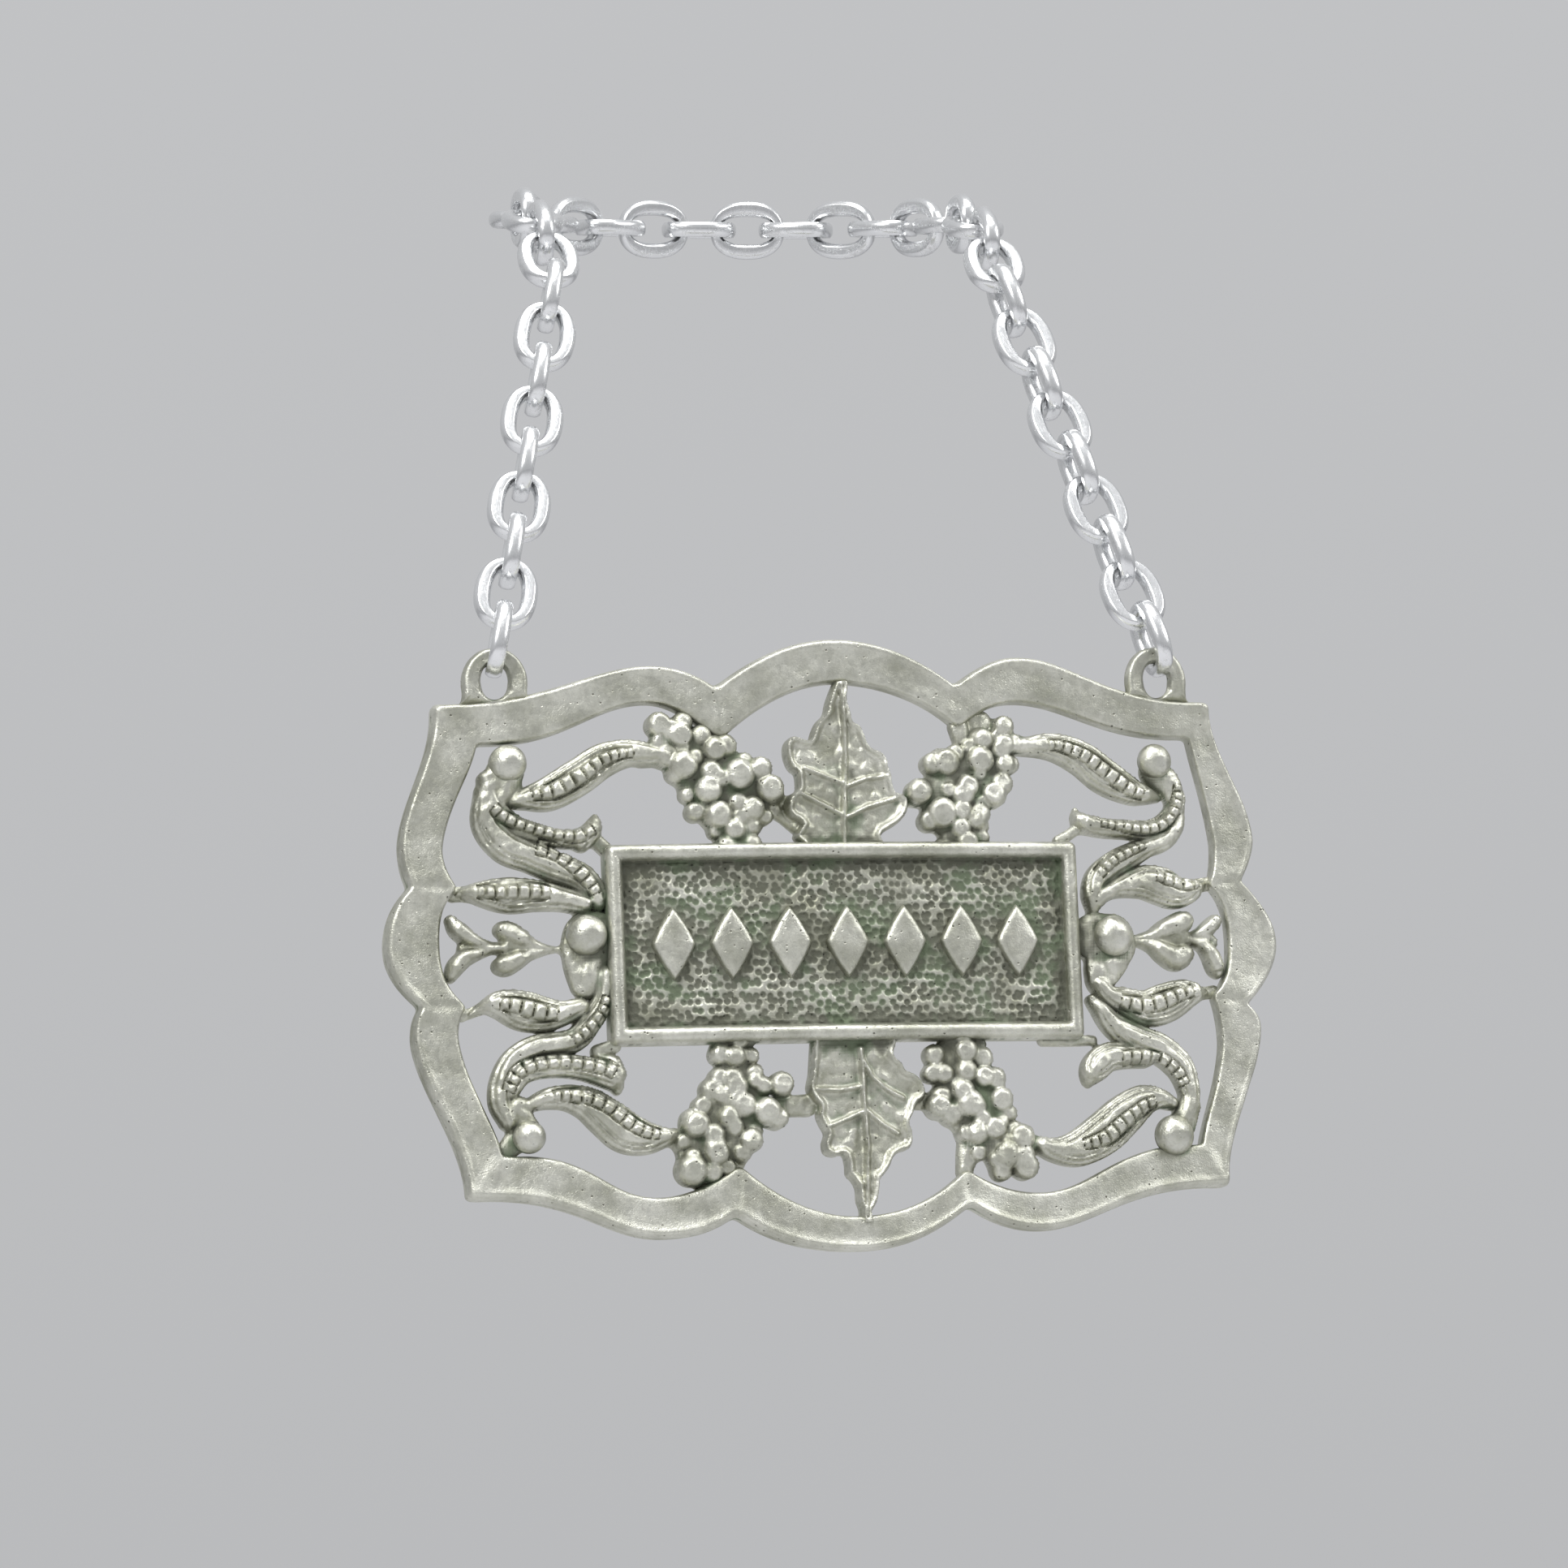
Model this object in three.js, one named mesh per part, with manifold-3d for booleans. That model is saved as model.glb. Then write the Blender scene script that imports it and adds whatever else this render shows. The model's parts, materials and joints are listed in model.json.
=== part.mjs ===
// Decanter label: one openwork cast plate hung by its two ears on a chain of oval links.
// Millimetres, +X to the viewer's right, +Y away from the viewer, +Z up.
// The origin is the middle of the chain's loop, where the decanter's neck goes.
import * as THREE from "three";
import { mergeVertices } from "three/addons/utils/BufferGeometryUtils.js";
import Module from "manifold-3d";

const wasm = await Module();
wasm.setup();

// Plate: the drawn face is (across, up) from the plate's middle, and depth is out of it.
const CURVE_RADIUS = 200;
const SIDE_END = 32.2;
const SIDE_IN_END = SIDE_END - 3.9;
const ARCH_TOP = 21.6;
const ARCH_IN_TOP = 18.6;
const CUSP = [8.65, 18.45];
const CUSP_IN = [8.3, 15.1];
const LOBE_TOP = [13.4, 20.05];
const LOBE_IN_TOP = [13.4, 17.2];
const CORNER = [SIDE_END - 4.6, 17.4];
const CORNER_IN = [SIDE_END - 7.3, 14.35];
const SIDE_LOBE = [SIDE_END - 1.4, 6.7];
const SIDE_LOBE_IN = [SIDE_END - 4.7, 6.6];
const NOTCH = [SIDE_END - 2.3, 4.45];
const NOTCH_IN = [SIDE_END - 5.45, 4.2];
// Handles of the outlines' curves, as steps from the points that they belong to.
const ARCH_HANDLE = 3.4;
const ARCH_IN_HANDLE = 3.0;
const TO_CUSP = [-2.45, 1.85];
const TO_CUSP_IN = [-2.3, 2.2];
const FROM_CUSP = [1.5, 1.1];
const TO_LOBE = -1.9;
const FROM_LOBE = 4;
const TO_CORNER = [-7.6, -0.4];
const TO_CORNER_IN = [-6.3, -0.4];
const FROM_CORNER = [-0.3, -3.6];
const FROM_CORNER_IN = [0.3, -1.95];
const TO_SIDE_LOBE = [-0.2, 3.3];
const TO_SIDE_LOBE_IN = [-0.3, 3.0];
const FROM_SIDE_LOBE = -1;
const TO_NOTCH = [0.4, 0.5];
const FROM_NOTCH = [1.2, -1.1];
const TO_SIDE_END = 1.7;
const FRAME_EDGE_DEPTH = 2.1;
const FRAME_EDGE_FALL = 0.25;
const FRAME_DISH_DEPTH = 1.6;
const FRAME_IN_DEPTH = 1.5;
const EDGE_RIDGE = 0.12;
const DISH_AT = 0.5;

const PANEL_HALF = [16.9, 7.0];
const PANEL_RIM = 1.0;
const PANEL_RIM_DEPTH = 2.3;
const PANEL_FLOOR_DEPTH = 1.3;
const PANEL_BACK_DEPTH = 0.1;
const INTO_PANEL = 0.4;
const INTO_FRAME = 0.35;
const PANEL_STEPS = 9;
const LOZENGE_COUNT = 7;
const LOZENGE_PITCH = 4.1;
const LOZENGE_HALF = [1.5, 2.5];
const LOZENGE_DEPTH = 2.0;
const LOZENGE_STEP = 0.3;

const SCROLL_BACK = 0.2;
const SCROLL_SIDE = 1.1;
const SCROLL_CREST = 1.9;
const TIP_SHARE = 0.18;

const SIDE_BEAD = { at: [18.9, 0.3], radius: 1.5 };
const CORNER_BEAD = { at: [23.35, 13.15], radius: 1.3 };
const BEAD_DEPTH = 1.35;
const BEAD_BACK_GAP = 0.15;
const GRAPE_DEPTH = 1.35;
const PANEL_END = [PANEL_HALF[0] - INTO_PANEL, PANEL_HALF[1] - INTO_PANEL];
const SHAFT_UP = 0.2;

const EAR_X = CORNER[0] - 3.75;
const EAR_BAR_Z = 20.65;
const EAR_WIRE = [0.55, 0.6];
const EAR_HOLE_HALF = 1.25;
const EAR_SIDE_HALF = 0.5;
const EAR_ROOT_Z = 16.6;
const EAR_DEPTH = 1.45;
const WIRE_SIDES = 8;

// Chain: every link is the same; flat links face the viewer and edge links stand edge-on.
const LINK_LENGTH = 5.75;
const LINK_WIDTH = 4.5;
const LINK_END_BAR = 0.85;
const LINK_SIDE_BAR = 1.2;
const LINK_THICKNESS = 1.15;
const LINK_CLEARANCE = 0.27;
const LINK_ROUNDNESS = 2.4;
const LINK_STATIONS = 14;
const STRAND_LINKS = 9;
const STRAND_BACK = 22;
const COLLAR_LINKS = 21;
const COLLAR_SLOPE = 12;
const SHOULDER_SLOPES = [52, 36, 22, COLLAR_SLOPE];

const DEG = Math.PI / 180;
const BAR_REACH = (LINK_LENGTH - LINK_END_BAR) / 2;
const LINK_PITCH = LINK_LENGTH - 2 * LINK_END_BAR - LINK_CLEARANCE;
const NEAR_REACH = LINK_PITCH - BAR_REACH;

const PEWTER = { color: 0x9f9d90, roughness: 0.42, metalness: 1 };
const SILVER = { color: 0xd9dce0, roughness: 0.18, metalness: 1 };

// A point of the plate: across and up in the drawing, depth towards the viewer, bent to the curve.
function platePoint(across, up, depth) {
  return new THREE.Vector3(across, (across * across) / (2 * CURVE_RADIUS) - depth, up);
}

// A closed skin over a row of rings; an open row gets a flat fan over each end.
function skin(rings, closed) {
  const count = rings[0].length;
  const points = rings.flat();
  const index = [];
  const last = closed ? rings.length : rings.length - 1;
  for (let i = 0; i < last; i++) {
    const a = i * count;
    const b = ((i + 1) % rings.length) * count;
    for (let j = 0; j < count; j++) {
      const k = (j + 1) % count;
      index.push(a + j, b + j, b + k, a + j, b + k, a + k);
    }
  }
  if (!closed) {
    const end = (rings.length - 1) * count;
    for (let j = 1; j < count - 1; j++) {
      index.push(0, j, j + 1, end, end + j + 1, end + j);
    }
  }
  return outward(points, index);
}

// A geometry whose faces all look outwards, whichever way its rings were walked.
function outward(points, index) {
  let volume = 0;
  for (let i = 0; i < index.length; i += 3) {
    const [a, b, c] = [points[index[i]], points[index[i + 1]], points[index[i + 2]]];
    volume += a.dot(b.clone().cross(c));
  }
  if (volume < 0) {
    for (let i = 0; i < index.length; i += 3) {
      [index[i + 1], index[i + 2]] = [index[i + 2], index[i + 1]];
    }
  }
  const geometry = new THREE.BufferGeometry().setFromPoints(points);
  geometry.setIndex(index);
  return geometry;
}

function solid(geometry) {
  const bare = new THREE.BufferGeometry();
  bare.setAttribute("position", geometry.getAttribute("position"));
  bare.setIndex(geometry.index);
  const merged = mergeVertices(bare, 1e-4);
  return new wasm.Manifold(
    new wasm.Mesh({
      numProp: 3,
      vertProperties: new Float32Array(merged.attributes.position.array),
      triVerts: new Uint32Array(merged.index.array),
    }),
  );
}

function geometryOf(shape) {
  const mesh = shape.getMesh();
  const geometry = new THREE.BufferGeometry();
  geometry.setAttribute("position", new THREE.BufferAttribute(mesh.vertProperties, 3));
  geometry.setIndex(new THREE.BufferAttribute(mesh.triVerts, 1));
  return geometry;
}

// A quarter of the frame's outline, from the arch's top to the middle of the side.
function quarterOutline(top, cusp, lobe, corner, sideLobe, notch, sideEnd, handles) {
  const path = new THREE.CurvePath();
  const at = (point, step = [0, 0]) => new THREE.Vector2(point[0] + step[0], point[1] + step[1]);
  const add = (...p) => path.add(new THREE.CubicBezierCurve(...p));
  const [arch, toCusp, toCorner, fromCorner, toSideLobe] = handles;
  add(at([0, top]), at([arch, top]), at(cusp, toCusp), at(cusp));
  add(at(cusp), at(cusp, FROM_CUSP), at(lobe, [TO_LOBE, 0]), at(lobe));
  add(at(lobe), at(lobe, [FROM_LOBE, 0]), at(corner, toCorner), at(corner));
  add(at(corner), at(corner, fromCorner), at(sideLobe, toSideLobe), at(sideLobe));
  add(at(sideLobe), at(sideLobe, [0, FROM_SIDE_LOBE]), at(notch, TO_NOTCH), at(notch));
  add(at(notch), at(notch, FROM_NOTCH), at([sideEnd, TO_SIDE_END]), at([sideEnd, 0]));
  return path;
}

const QUARTER_STEPS = [6, 4, 7, 6, 3, 4];

// The whole outline as points, stepped alike for the outer and the inner one.
function wholeOutline(path) {
  const quarter = [];
  path.curves.forEach((curve, i) => {
    for (let k = 0; k < QUARTER_STEPS[i]; k++) {
      quarter.push(curve.getPoint(k / QUARTER_STEPS[i]));
    }
  });
  quarter.push(path.curves.at(-1).getPoint(1));
  const mirrored = (list, sx, sy) => list.map((p) => new THREE.Vector2(p.x * sx, p.y * sy));
  const back = [...quarter].reverse();
  return [
    ...quarter.slice(0, -1),
    ...mirrored(back, 1, -1).slice(0, -1),
    ...mirrored(quarter, -1, -1).slice(0, -1),
    ...mirrored(back, -1, 1).slice(0, -1),
  ];
}

function frameBand() {
  const outer = wholeOutline(
    quarterOutline(ARCH_TOP, CUSP, LOBE_TOP, CORNER, SIDE_LOBE, NOTCH, SIDE_END, [
      ARCH_HANDLE,
      TO_CUSP,
      TO_CORNER,
      FROM_CORNER,
      TO_SIDE_LOBE,
    ]),
  );
  const inner = wholeOutline(
    quarterOutline(ARCH_IN_TOP, CUSP_IN, LOBE_IN_TOP, CORNER_IN, SIDE_LOBE_IN, NOTCH_IN, SIDE_IN_END, [
      ARCH_IN_HANDLE,
      TO_CUSP_IN,
      TO_CORNER_IN,
      FROM_CORNER_IN,
      TO_SIDE_LOBE_IN,
    ]),
  );
  const rings = outer.map((o, i) => {
    const across = (share, depth) => {
      const p = o.clone().lerp(inner[i], share);
      return platePoint(p.x, p.y, depth);
    };
    return [
      across(0, 0),
      across(0, FRAME_EDGE_DEPTH - FRAME_EDGE_FALL),
      across(EDGE_RIDGE, FRAME_EDGE_DEPTH),
      across(DISH_AT, FRAME_DISH_DEPTH),
      across(1, FRAME_IN_DEPTH),
      across(1, 0),
    ];
  });
  return skin(rings, true);
}

// A scroll or leaf: a ribbon along a curve, its half width given along it, with a raised crest.
function ribbon(points, widths, steps, crest = SCROLL_CREST, back = SCROLL_BACK) {
  const curve = new THREE.SplineCurve(points.map((p) => new THREE.Vector2(...p)));
  const breadth = new THREE.SplineCurve(
    widths.map((w, i) => new THREE.Vector2(i / (widths.length - 1), w)),
  );
  const rings = [];
  for (let i = 0; i <= steps; i++) {
    const t = i / steps;
    const p = curve.getPoint(t);
    const tangent = curve.getTangent(t);
    const w = Math.max(breadth.getPoint(t).y, TIP_SHARE);
    const lift = Math.min(1, w / 0.7);
    const at = (side, depth) =>
      platePoint(p.x - tangent.y * w * side, p.y + tangent.x * w * side, depth);
    rings.push([
      at(-0.85, back),
      at(-1, back + (SCROLL_SIDE - back) * lift),
      at(-0.35, back + (crest - back) * lift),
      at(0.35, back + (crest - back) * lift),
      at(1, back + (SCROLL_SIDE - back) * lift),
      at(0.85, back),
    ]);
  }
  return skin(rings, false);
}

// A round bead or grape, flattened behind so that it stays inside the plate's back.
function bead(across, up, radius, depth, parts = 10) {
  const ball = new THREE.SphereGeometry(radius, parts, Math.round(parts * 0.7));
  const position = ball.getAttribute("position");
  const behind = Math.min(1, (depth - BEAD_BACK_GAP) / radius);
  for (let i = 0; i < position.count; i++) {
    const y = position.getY(i);
    const p = platePoint(across + position.getX(i), up + position.getZ(i), depth - y * (y > 0 ? behind : 1));
    position.setXYZ(i, p.x, p.y, p.z);
  }
  ball.deleteAttribute("uv");
  ball.deleteAttribute("normal");
  const merged = mergeVertices(ball, 1e-4);
  const points = [];
  const p = merged.getAttribute("position");
  for (let i = 0; i < p.count; i++) {
    points.push(new THREE.Vector3().fromBufferAttribute(p, i));
  }
  return outward(points, [...merged.index.array]);
}

// The panel: a shallow tray in strips across, so that it follows the plate's curve.
function panel() {
  const [w, h] = PANEL_HALF;
  const tray = (halfWidth, halfHeight, front, back) => {
    const rings = [];
    for (let i = 0; i <= PANEL_STEPS; i++) {
      const x = -halfWidth + (2 * halfWidth * i) / PANEL_STEPS;
      const at = (up, depth) => platePoint(x, up, depth);
      const [low, high] = [-halfHeight, halfHeight];
      rings.push([at(low, back), at(low, front), at(high, front), at(high, back)]);
    }
    return solid(skin(rings, false));
  };
  const block = tray(w, h, PANEL_RIM_DEPTH, PANEL_BACK_DEPTH);
  return block.subtract(tray(w - PANEL_RIM, h - PANEL_RIM, PANEL_RIM_DEPTH + 1, PANEL_FLOOR_DEPTH));
}

// One pointed lozenge of the plain row that stands where a name would go.
function lozenge(x) {
  const [w, h] = LOZENGE_HALF;
  const low = PANEL_FLOOR_DEPTH - LOZENGE_STEP;
  const corners = [[w, 0], [0, h], [-w, 0], [0, -h]];
  const ring = (share, depth) => corners.map(([a, b]) => platePoint(x + a * share, b * share, depth));
  return skin([ring(1, low), ring(1, PANEL_FLOOR_DEPTH + LOZENGE_STEP), ring(0.3, LOZENGE_DEPTH)], false);
}

// A vine leaf: half its edge is given, from the tip to the base, and mirrored.
function leaf(half) {
  const edge = [...half, ...half.slice(1).reverse().map(([x, y]) => [-x, y])];
  const middle = half.reduce((sum, p) => sum + p[1], 0) / half.length;
  const ring = (share, depth) =>
    edge.map(([x, y]) => platePoint(x * share, middle + (y - middle) * share, depth));
  return skin([ring(1, SCROLL_BACK), ring(1, 1.0), ring(0.55, 1.35)], false);
}

// A ring of wire points round a curve point, for the ears and the links.
function wireRing(centre, inward, side, halfIn, halfSide, sides) {
  const ring = [];
  for (let k = 0; k < sides; k++) {
    const a = (2 * Math.PI * (k + 0.5)) / sides;
    ring.push(
      centre
        .clone()
        .addScaledVector(inward, Math.cos(a) * halfIn)
        .addScaledVector(side, Math.sin(a) * halfSide),
    );
  }
  return ring;
}

// An ear: a horseshoe of wire whose two legs run down into the frame.
function ear(sign) {
  const reach = EAR_HOLE_HALF + EAR_SIDE_HALF;
  const stations = [];
  const springZ = EAR_BAR_Z - reach;
  const turn = 8;
  stations.push([reach, EAR_ROOT_Z, 1, 0]);
  for (let i = 0; i <= turn; i++) {
    const a = (Math.PI * i) / turn;
    stations.push([reach * Math.cos(a), springZ + reach * Math.sin(a), Math.cos(a), Math.sin(a)]);
  }
  stations.push([-reach, EAR_ROOT_Z, -1, 0]);
  const y = (EAR_X * EAR_X) / (2 * CURVE_RADIUS) - EAR_DEPTH;
  const rings = stations.map(([x, z, nx, nz]) =>
    wireRing(
      new THREE.Vector3(sign * (EAR_X + x), y, z),
      new THREE.Vector3(sign * nx, 0, nz),
      new THREE.Vector3(0, 1, 0),
      EAR_WIRE[0] * (nz > 0.7 ? 1 : EAR_SIDE_HALF / EAR_WIRE[0]),
      EAR_WIRE[1],
      WIRE_SIDES,
    ),
  );
  return skin(rings, false);
}

const UPPER = {
  scrolls: [
    { points: [[22.9, 10.4], [20.9, 10.8], [19.0, 11.8], [17.2, 13.0], [15.3, 13.7], [12.6, 13.5]],
      widths: [0.4, 0.9, 1.25, 1.1, 0.8, 0.7], steps: 9 },
    { points: [[23.6, 12.4], [24.9, 10.9], [24.3, 9.1], [22.4, 8.3], [20.0, 7.9], [17.5, 8.8]],
      widths: [0.5, 0.7, 0.8, 0.8, 0.9, 0.8], steps: 11 },
    { points: [[24.9, 9.9], [23.9, 7.8], [21.6, 6.6], [19.3, 5.6], [18.2, 4.1], [18.1, 2.2]],
      widths: [0.5, 0.8, 0.9, 0.9, 0.85, 0.8], steps: 10 },
    { points: [[18.6, 3.4], [21.0, 4.1], [23.0, 4.3], [25.1, 4.1], [NOTCH_IN[0] + INTO_FRAME, 4.15]],
      widths: [0.7, 1.05, 1.15, 0.85, 0.25], steps: 8 },
    { points: [[17.7, 8.6], PANEL_END], widths: [0.7, 0.6], steps: 2 },
    { points: [[12.8, 15.4], [10.6, 13.1], [8.9, 10.9], [8.5, 8.6], [8.5, PANEL_END[1]]],
      widths: [0.5, 1.5, 2.4, 1.1, 0.9], steps: 8, crest: 1.3 },
    { points: [[8.4, 15.5], [9.0, 13.0]], widths: [0.7, 0.8], steps: 2, crest: 1.4 },
  ],
  grapes: [[12.5, 15.2, 0.65], [10.9, 14.5, 0.75], [11.5, 13.0, 0.75], [9.7, 13.0, 0.85],
    [7.4, 12.3, 0.75], [8.7, 11.5, 0.85], [6.2, 11.0, 0.85], [10.7, 10.8, 0.75],
    [9.1, 10.0, 0.8], [7.4, 9.9, 0.8], [9.3, 8.8, 0.7]],
};
const LOWER = {
  scrolls: [
    { points: [[22.8, -11.0], [20.9, -10.8], [18.8, -11.7], [16.5, -13.3], [13.9, -14.0], [12.0, -13.7]],
      widths: [0.4, 0.9, 1.2, 1.15, 0.8, 0.6], steps: 9 },
    { points: [[18.1, -1.6], [18.6, -3.8], [20.4, -5.8], [23.0, -7.1], [24.6, -8.9], [24.9, -11.2],
      [23.6, -12.7]],
      widths: [0.8, 0.8, 0.9, 1.0, 0.9, 0.7, 0.5], steps: 12 },
    { points: [[23.7, -8.1], [20.4, -7.7], [18.0, -8.4], [17.0, -9.9]],
      widths: [0.6, 0.85, 0.95, 0.7], steps: 7 },
    { points: [[18.6, -4.4], [20.9, -4.6], [23.3, -4.0], [25.3, -3.6], [NOTCH_IN[0] + INTO_FRAME, -4.15]],
      widths: [0.7, 1.0, 1.1, 0.8, 0.25], steps: 8 },
    { points: [[18.0, -8.3], [PANEL_END[0], -PANEL_END[1]]], widths: [0.7, 0.6], steps: 2 },
    { points: [[12.2, -15.6], [10.4, -13.6], [8.8, -11.4], [8.4, -9.0], [8.4, -PANEL_END[1]]],
      widths: [0.7, 1.4, 2.2, 1.1, 0.9], steps: 8, crest: 1.3 },
    { points: [[8.4, -15.5], [9.2, -13.2]], widths: [0.7, 0.8], steps: 2, crest: 1.4 },
  ],
  grapes: [[8.4, -8.4, 0.65], [6.6, -9.5, 0.8], [8.7, -10.1, 0.8], [6.5, -11.2, 0.8],
    [8.4, -11.7, 0.85], [10.5, -11.7, 0.8], [7.4, -12.9, 0.7], [9.2, -13.4, 0.8],
    [11.2, -13.4, 0.75], [10.5, -15.0, 0.8], [12.0, -15.6, 0.75]],
};
const LEAF_TOP = [[0, 18.9], [1.0, 15.8], [2.9, 14.0], [3.3, 12.4], [4.2, 11.3], [4.3, 9.0], [3.0, 8.1],
  [2.7, PANEL_END[1]]];
const LEAF_BOTTOM = [[0, -18.9], [0.9, -16.2], [2.2, -15.0], [3.3, -14.2], [3.4, -12.3], [4.5, -11.4],
  [4.7, -9.8], [3.9, -8.6], [2.9, -PANEL_END[1]]];
const SPEAR = {
  shaft: [[19.6, SHAFT_UP], [SIDE_IN_END + INTO_FRAME, SHAFT_UP]],
  roots: [23.0, 25.9],
  tips: [24.8, 27.9],
  rise: 1.9,
};

function labelPlate() {
  let plate = solid(frameBand()).add(panel());
  const add = (geometry) => {
    plate = plate.add(solid(geometry));
  };
  for (let i = 0; i < LOZENGE_COUNT; i++) {
    add(lozenge((i - (LOZENGE_COUNT - 1) / 2) * LOZENGE_PITCH));
  }
  add(leaf(LEAF_TOP));
  add(leaf(LEAF_BOTTOM));
  add(ribbon([LEAF_TOP[0], [0, 12], [0, PANEL_END[1]]], [0.3, 0.35, 0.4], 4, 1.8));
  add(ribbon([LEAF_BOTTOM[0], [0, -12], [0, -PANEL_END[1]]], [0.3, 0.35, 0.4], 4, 1.8));
  for (const sign of [-1, 1]) {
    const flip = ([x, y]) => [sign * x, y];
    for (const half of [UPPER, LOWER]) {
      for (const s of half.scrolls) {
        add(ribbon(s.points.map(flip), s.widths, s.steps, s.crest));
      }
      for (const [x, y, r] of half.grapes) {
        add(bead(sign * x, y, r, GRAPE_DEPTH, 7));
      }
    }
    for (const up of [-1, 1]) {
      add(bead(sign * CORNER_BEAD.at[0], up * CORNER_BEAD.at[1], CORNER_BEAD.radius, BEAD_DEPTH));
      SPEAR.roots.forEach((root, i) => {
        const heel = [root + 0.8, SHAFT_UP + up * 0.6];
        const barb = [[root - 0.4, SHAFT_UP], heel, [SPEAR.tips[i], SHAFT_UP + up * SPEAR.rise]];
        add(ribbon(barb.map(flip), [0.4, 0.6, 0.3], 4));
      });
    }
    add(bead(sign * SIDE_BEAD.at[0], SIDE_BEAD.at[1], SIDE_BEAD.radius, BEAD_DEPTH));
    const seat = [[SIDE_BEAD.at[0] - 0.5, SIDE_BEAD.at[1]], [PANEL_END[0], SIDE_BEAD.at[1]]];
    add(ribbon(seat.map(flip), [1.2, 1.2], 2));
    add(ribbon(SPEAR.shaft.map(flip), [0.5, 0.45, 0.5], 4));
    add(ear(sign));
  }
  return geometryOf(plate);
}

// An oval link about its own middle: long along Z, wide along X, faceted in section.
function linkGeometry() {
  const halfLength = BAR_REACH;
  const halfWidth = (LINK_WIDTH - LINK_SIDE_BAR) / 2;
  const at = (a) => {
    const squared = (v) => Math.sign(v) * Math.abs(v) ** (2 / LINK_ROUNDNESS);
    return new THREE.Vector3(halfWidth * squared(Math.cos(a)), 0, halfLength * squared(Math.sin(a)));
  };
  const rings = [];
  for (let i = 0; i < LINK_STATIONS; i++) {
    const a = (2 * Math.PI * (i + 0.5)) / LINK_STATIONS;
    const ahead = at(a + 0.05).sub(at(a - 0.05)).normalize();
    const out = new THREE.Vector3(ahead.z, 0, -ahead.x);
    const bar = THREE.MathUtils.lerp(LINK_SIDE_BAR, LINK_END_BAR, Math.sin(a) ** 2) / 2;
    const half = LINK_THICKNESS / 2;
    const point = (o, y) => at(a).addScaledVector(out, o * bar).setY(y * half);
    rings.push([point(1, 0), point(0.5, 1), point(-0.5, 1), point(-1, 0), point(-0.5, -1), point(0.5, -1)]);
  }
  return skin(rings, true);
}

// A link placed with its length along a direction and its width along the bar it is seen by.
function placedLink(name, centre, along, across) {
  const z = along.clone().normalize();
  const y = z.clone().cross(across).normalize();
  const x = y.clone().cross(z);
  const geometry = linkGeometry().applyMatrix4(new THREE.Matrix4().makeBasis(x, y, z).setPosition(centre));
  return named(name, geometry, SILVER);
}

function named(name, geometry, look) {
  const mesh = new THREE.Mesh(geometry, new THREE.MeshStandardMaterial(look));
  mesh.name = name;
  return mesh;
}

// Half of the collar, from its first link at the left shoulder to the link at the back's middle.
function collarHalf() {
  const half = (COLLAR_LINKS + 1) / 2;
  const slope = COLLAR_SLOPE * DEG;
  const turns = half - SHOULDER_SLOPES.length;
  const links = [];
  let bar = new THREE.Vector3(0, 0, 0);
  SHOULDER_SLOPES.forEach((angle, i) => {
    const flat = i % 2 === 0;
    const along = new THREE.Vector3(0, Math.cos(angle * DEG), Math.sin(angle * DEG));
    const reach = flat ? BAR_REACH : NEAR_REACH;
    const centre = bar.clone().addScaledVector(along, reach);
    bar = centre.clone().addScaledVector(along, reach);
    links.push({ centre, along });
  });
  for (let i = 1; i <= turns; i++) {
    const before = links.at(-1);
    const heading = (90 * i * DEG) / turns;
    const along = new THREE.Vector3(
      Math.sin(heading),
      Math.cos(heading) * Math.cos(slope),
      Math.cos(heading) * Math.sin(slope),
    );
    const edgeBefore = (SHOULDER_SLOPES.length + i - 2) % 2 === 1;
    const centre = before.centre
      .clone()
      .addScaledVector(before.along, edgeBefore ? BAR_REACH : NEAR_REACH)
      .addScaledVector(along, edgeBefore ? NEAR_REACH : BAR_REACH);
    links.push({ centre, along });
  }
  return links;
}

const twoDigits = (n) => String(n).padStart(2, "0");

const label = new THREE.Group();

const half = collarHalf();
const shoulderX = half.at(-1).centre.x;
const shoulderEnd = half[SHOULDER_SLOPES.length - 1];
const loopMiddle = new THREE.Vector3(0, shoulderEnd.centre.y, shoulderEnd.centre.z);
const collarUp = new THREE.Vector3(0, -Math.sin(COLLAR_SLOPE * DEG), Math.cos(COLLAR_SLOPE * DEG));
const shoulder = new THREE.Vector3(-shoulderX, 0, 0).sub(loopMiddle);

half.forEach((link, i) => {
  const flat = i % 2 === 0;
  const mirror = (v) => new THREE.Vector3(-v.x, v.y, v.z);
  const bending = i < SHOULDER_SLOPES.length;
  const normal = bending ? new THREE.Vector3(1, 0, 0).cross(link.along) : collarUp.clone();
  const across = flat ? normal.clone().cross(link.along) : normal;
  const centre = link.centre.clone().add(shoulder);
  label.add(placedLink(`collar_link_${twoDigits(i + 1)}`, centre, link.along, across));
  if (i < half.length - 1) {
    const other = `collar_link_${twoDigits(COLLAR_LINKS - i)}`;
    label.add(placedLink(other, mirror(centre), mirror(link.along), mirror(across)));
  }
});

const strandRun = ((STRAND_LINKS + 1) / 2) * 2 * NEAR_REACH + ((STRAND_LINKS - 1) / 2) * 2 * BAR_REACH;
const strandLean = Math.asin((EAR_X - shoulderX) / strandRun);
const earDepthAt = (EAR_X * EAR_X) / (2 * CURVE_RADIUS) - EAR_DEPTH;
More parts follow.
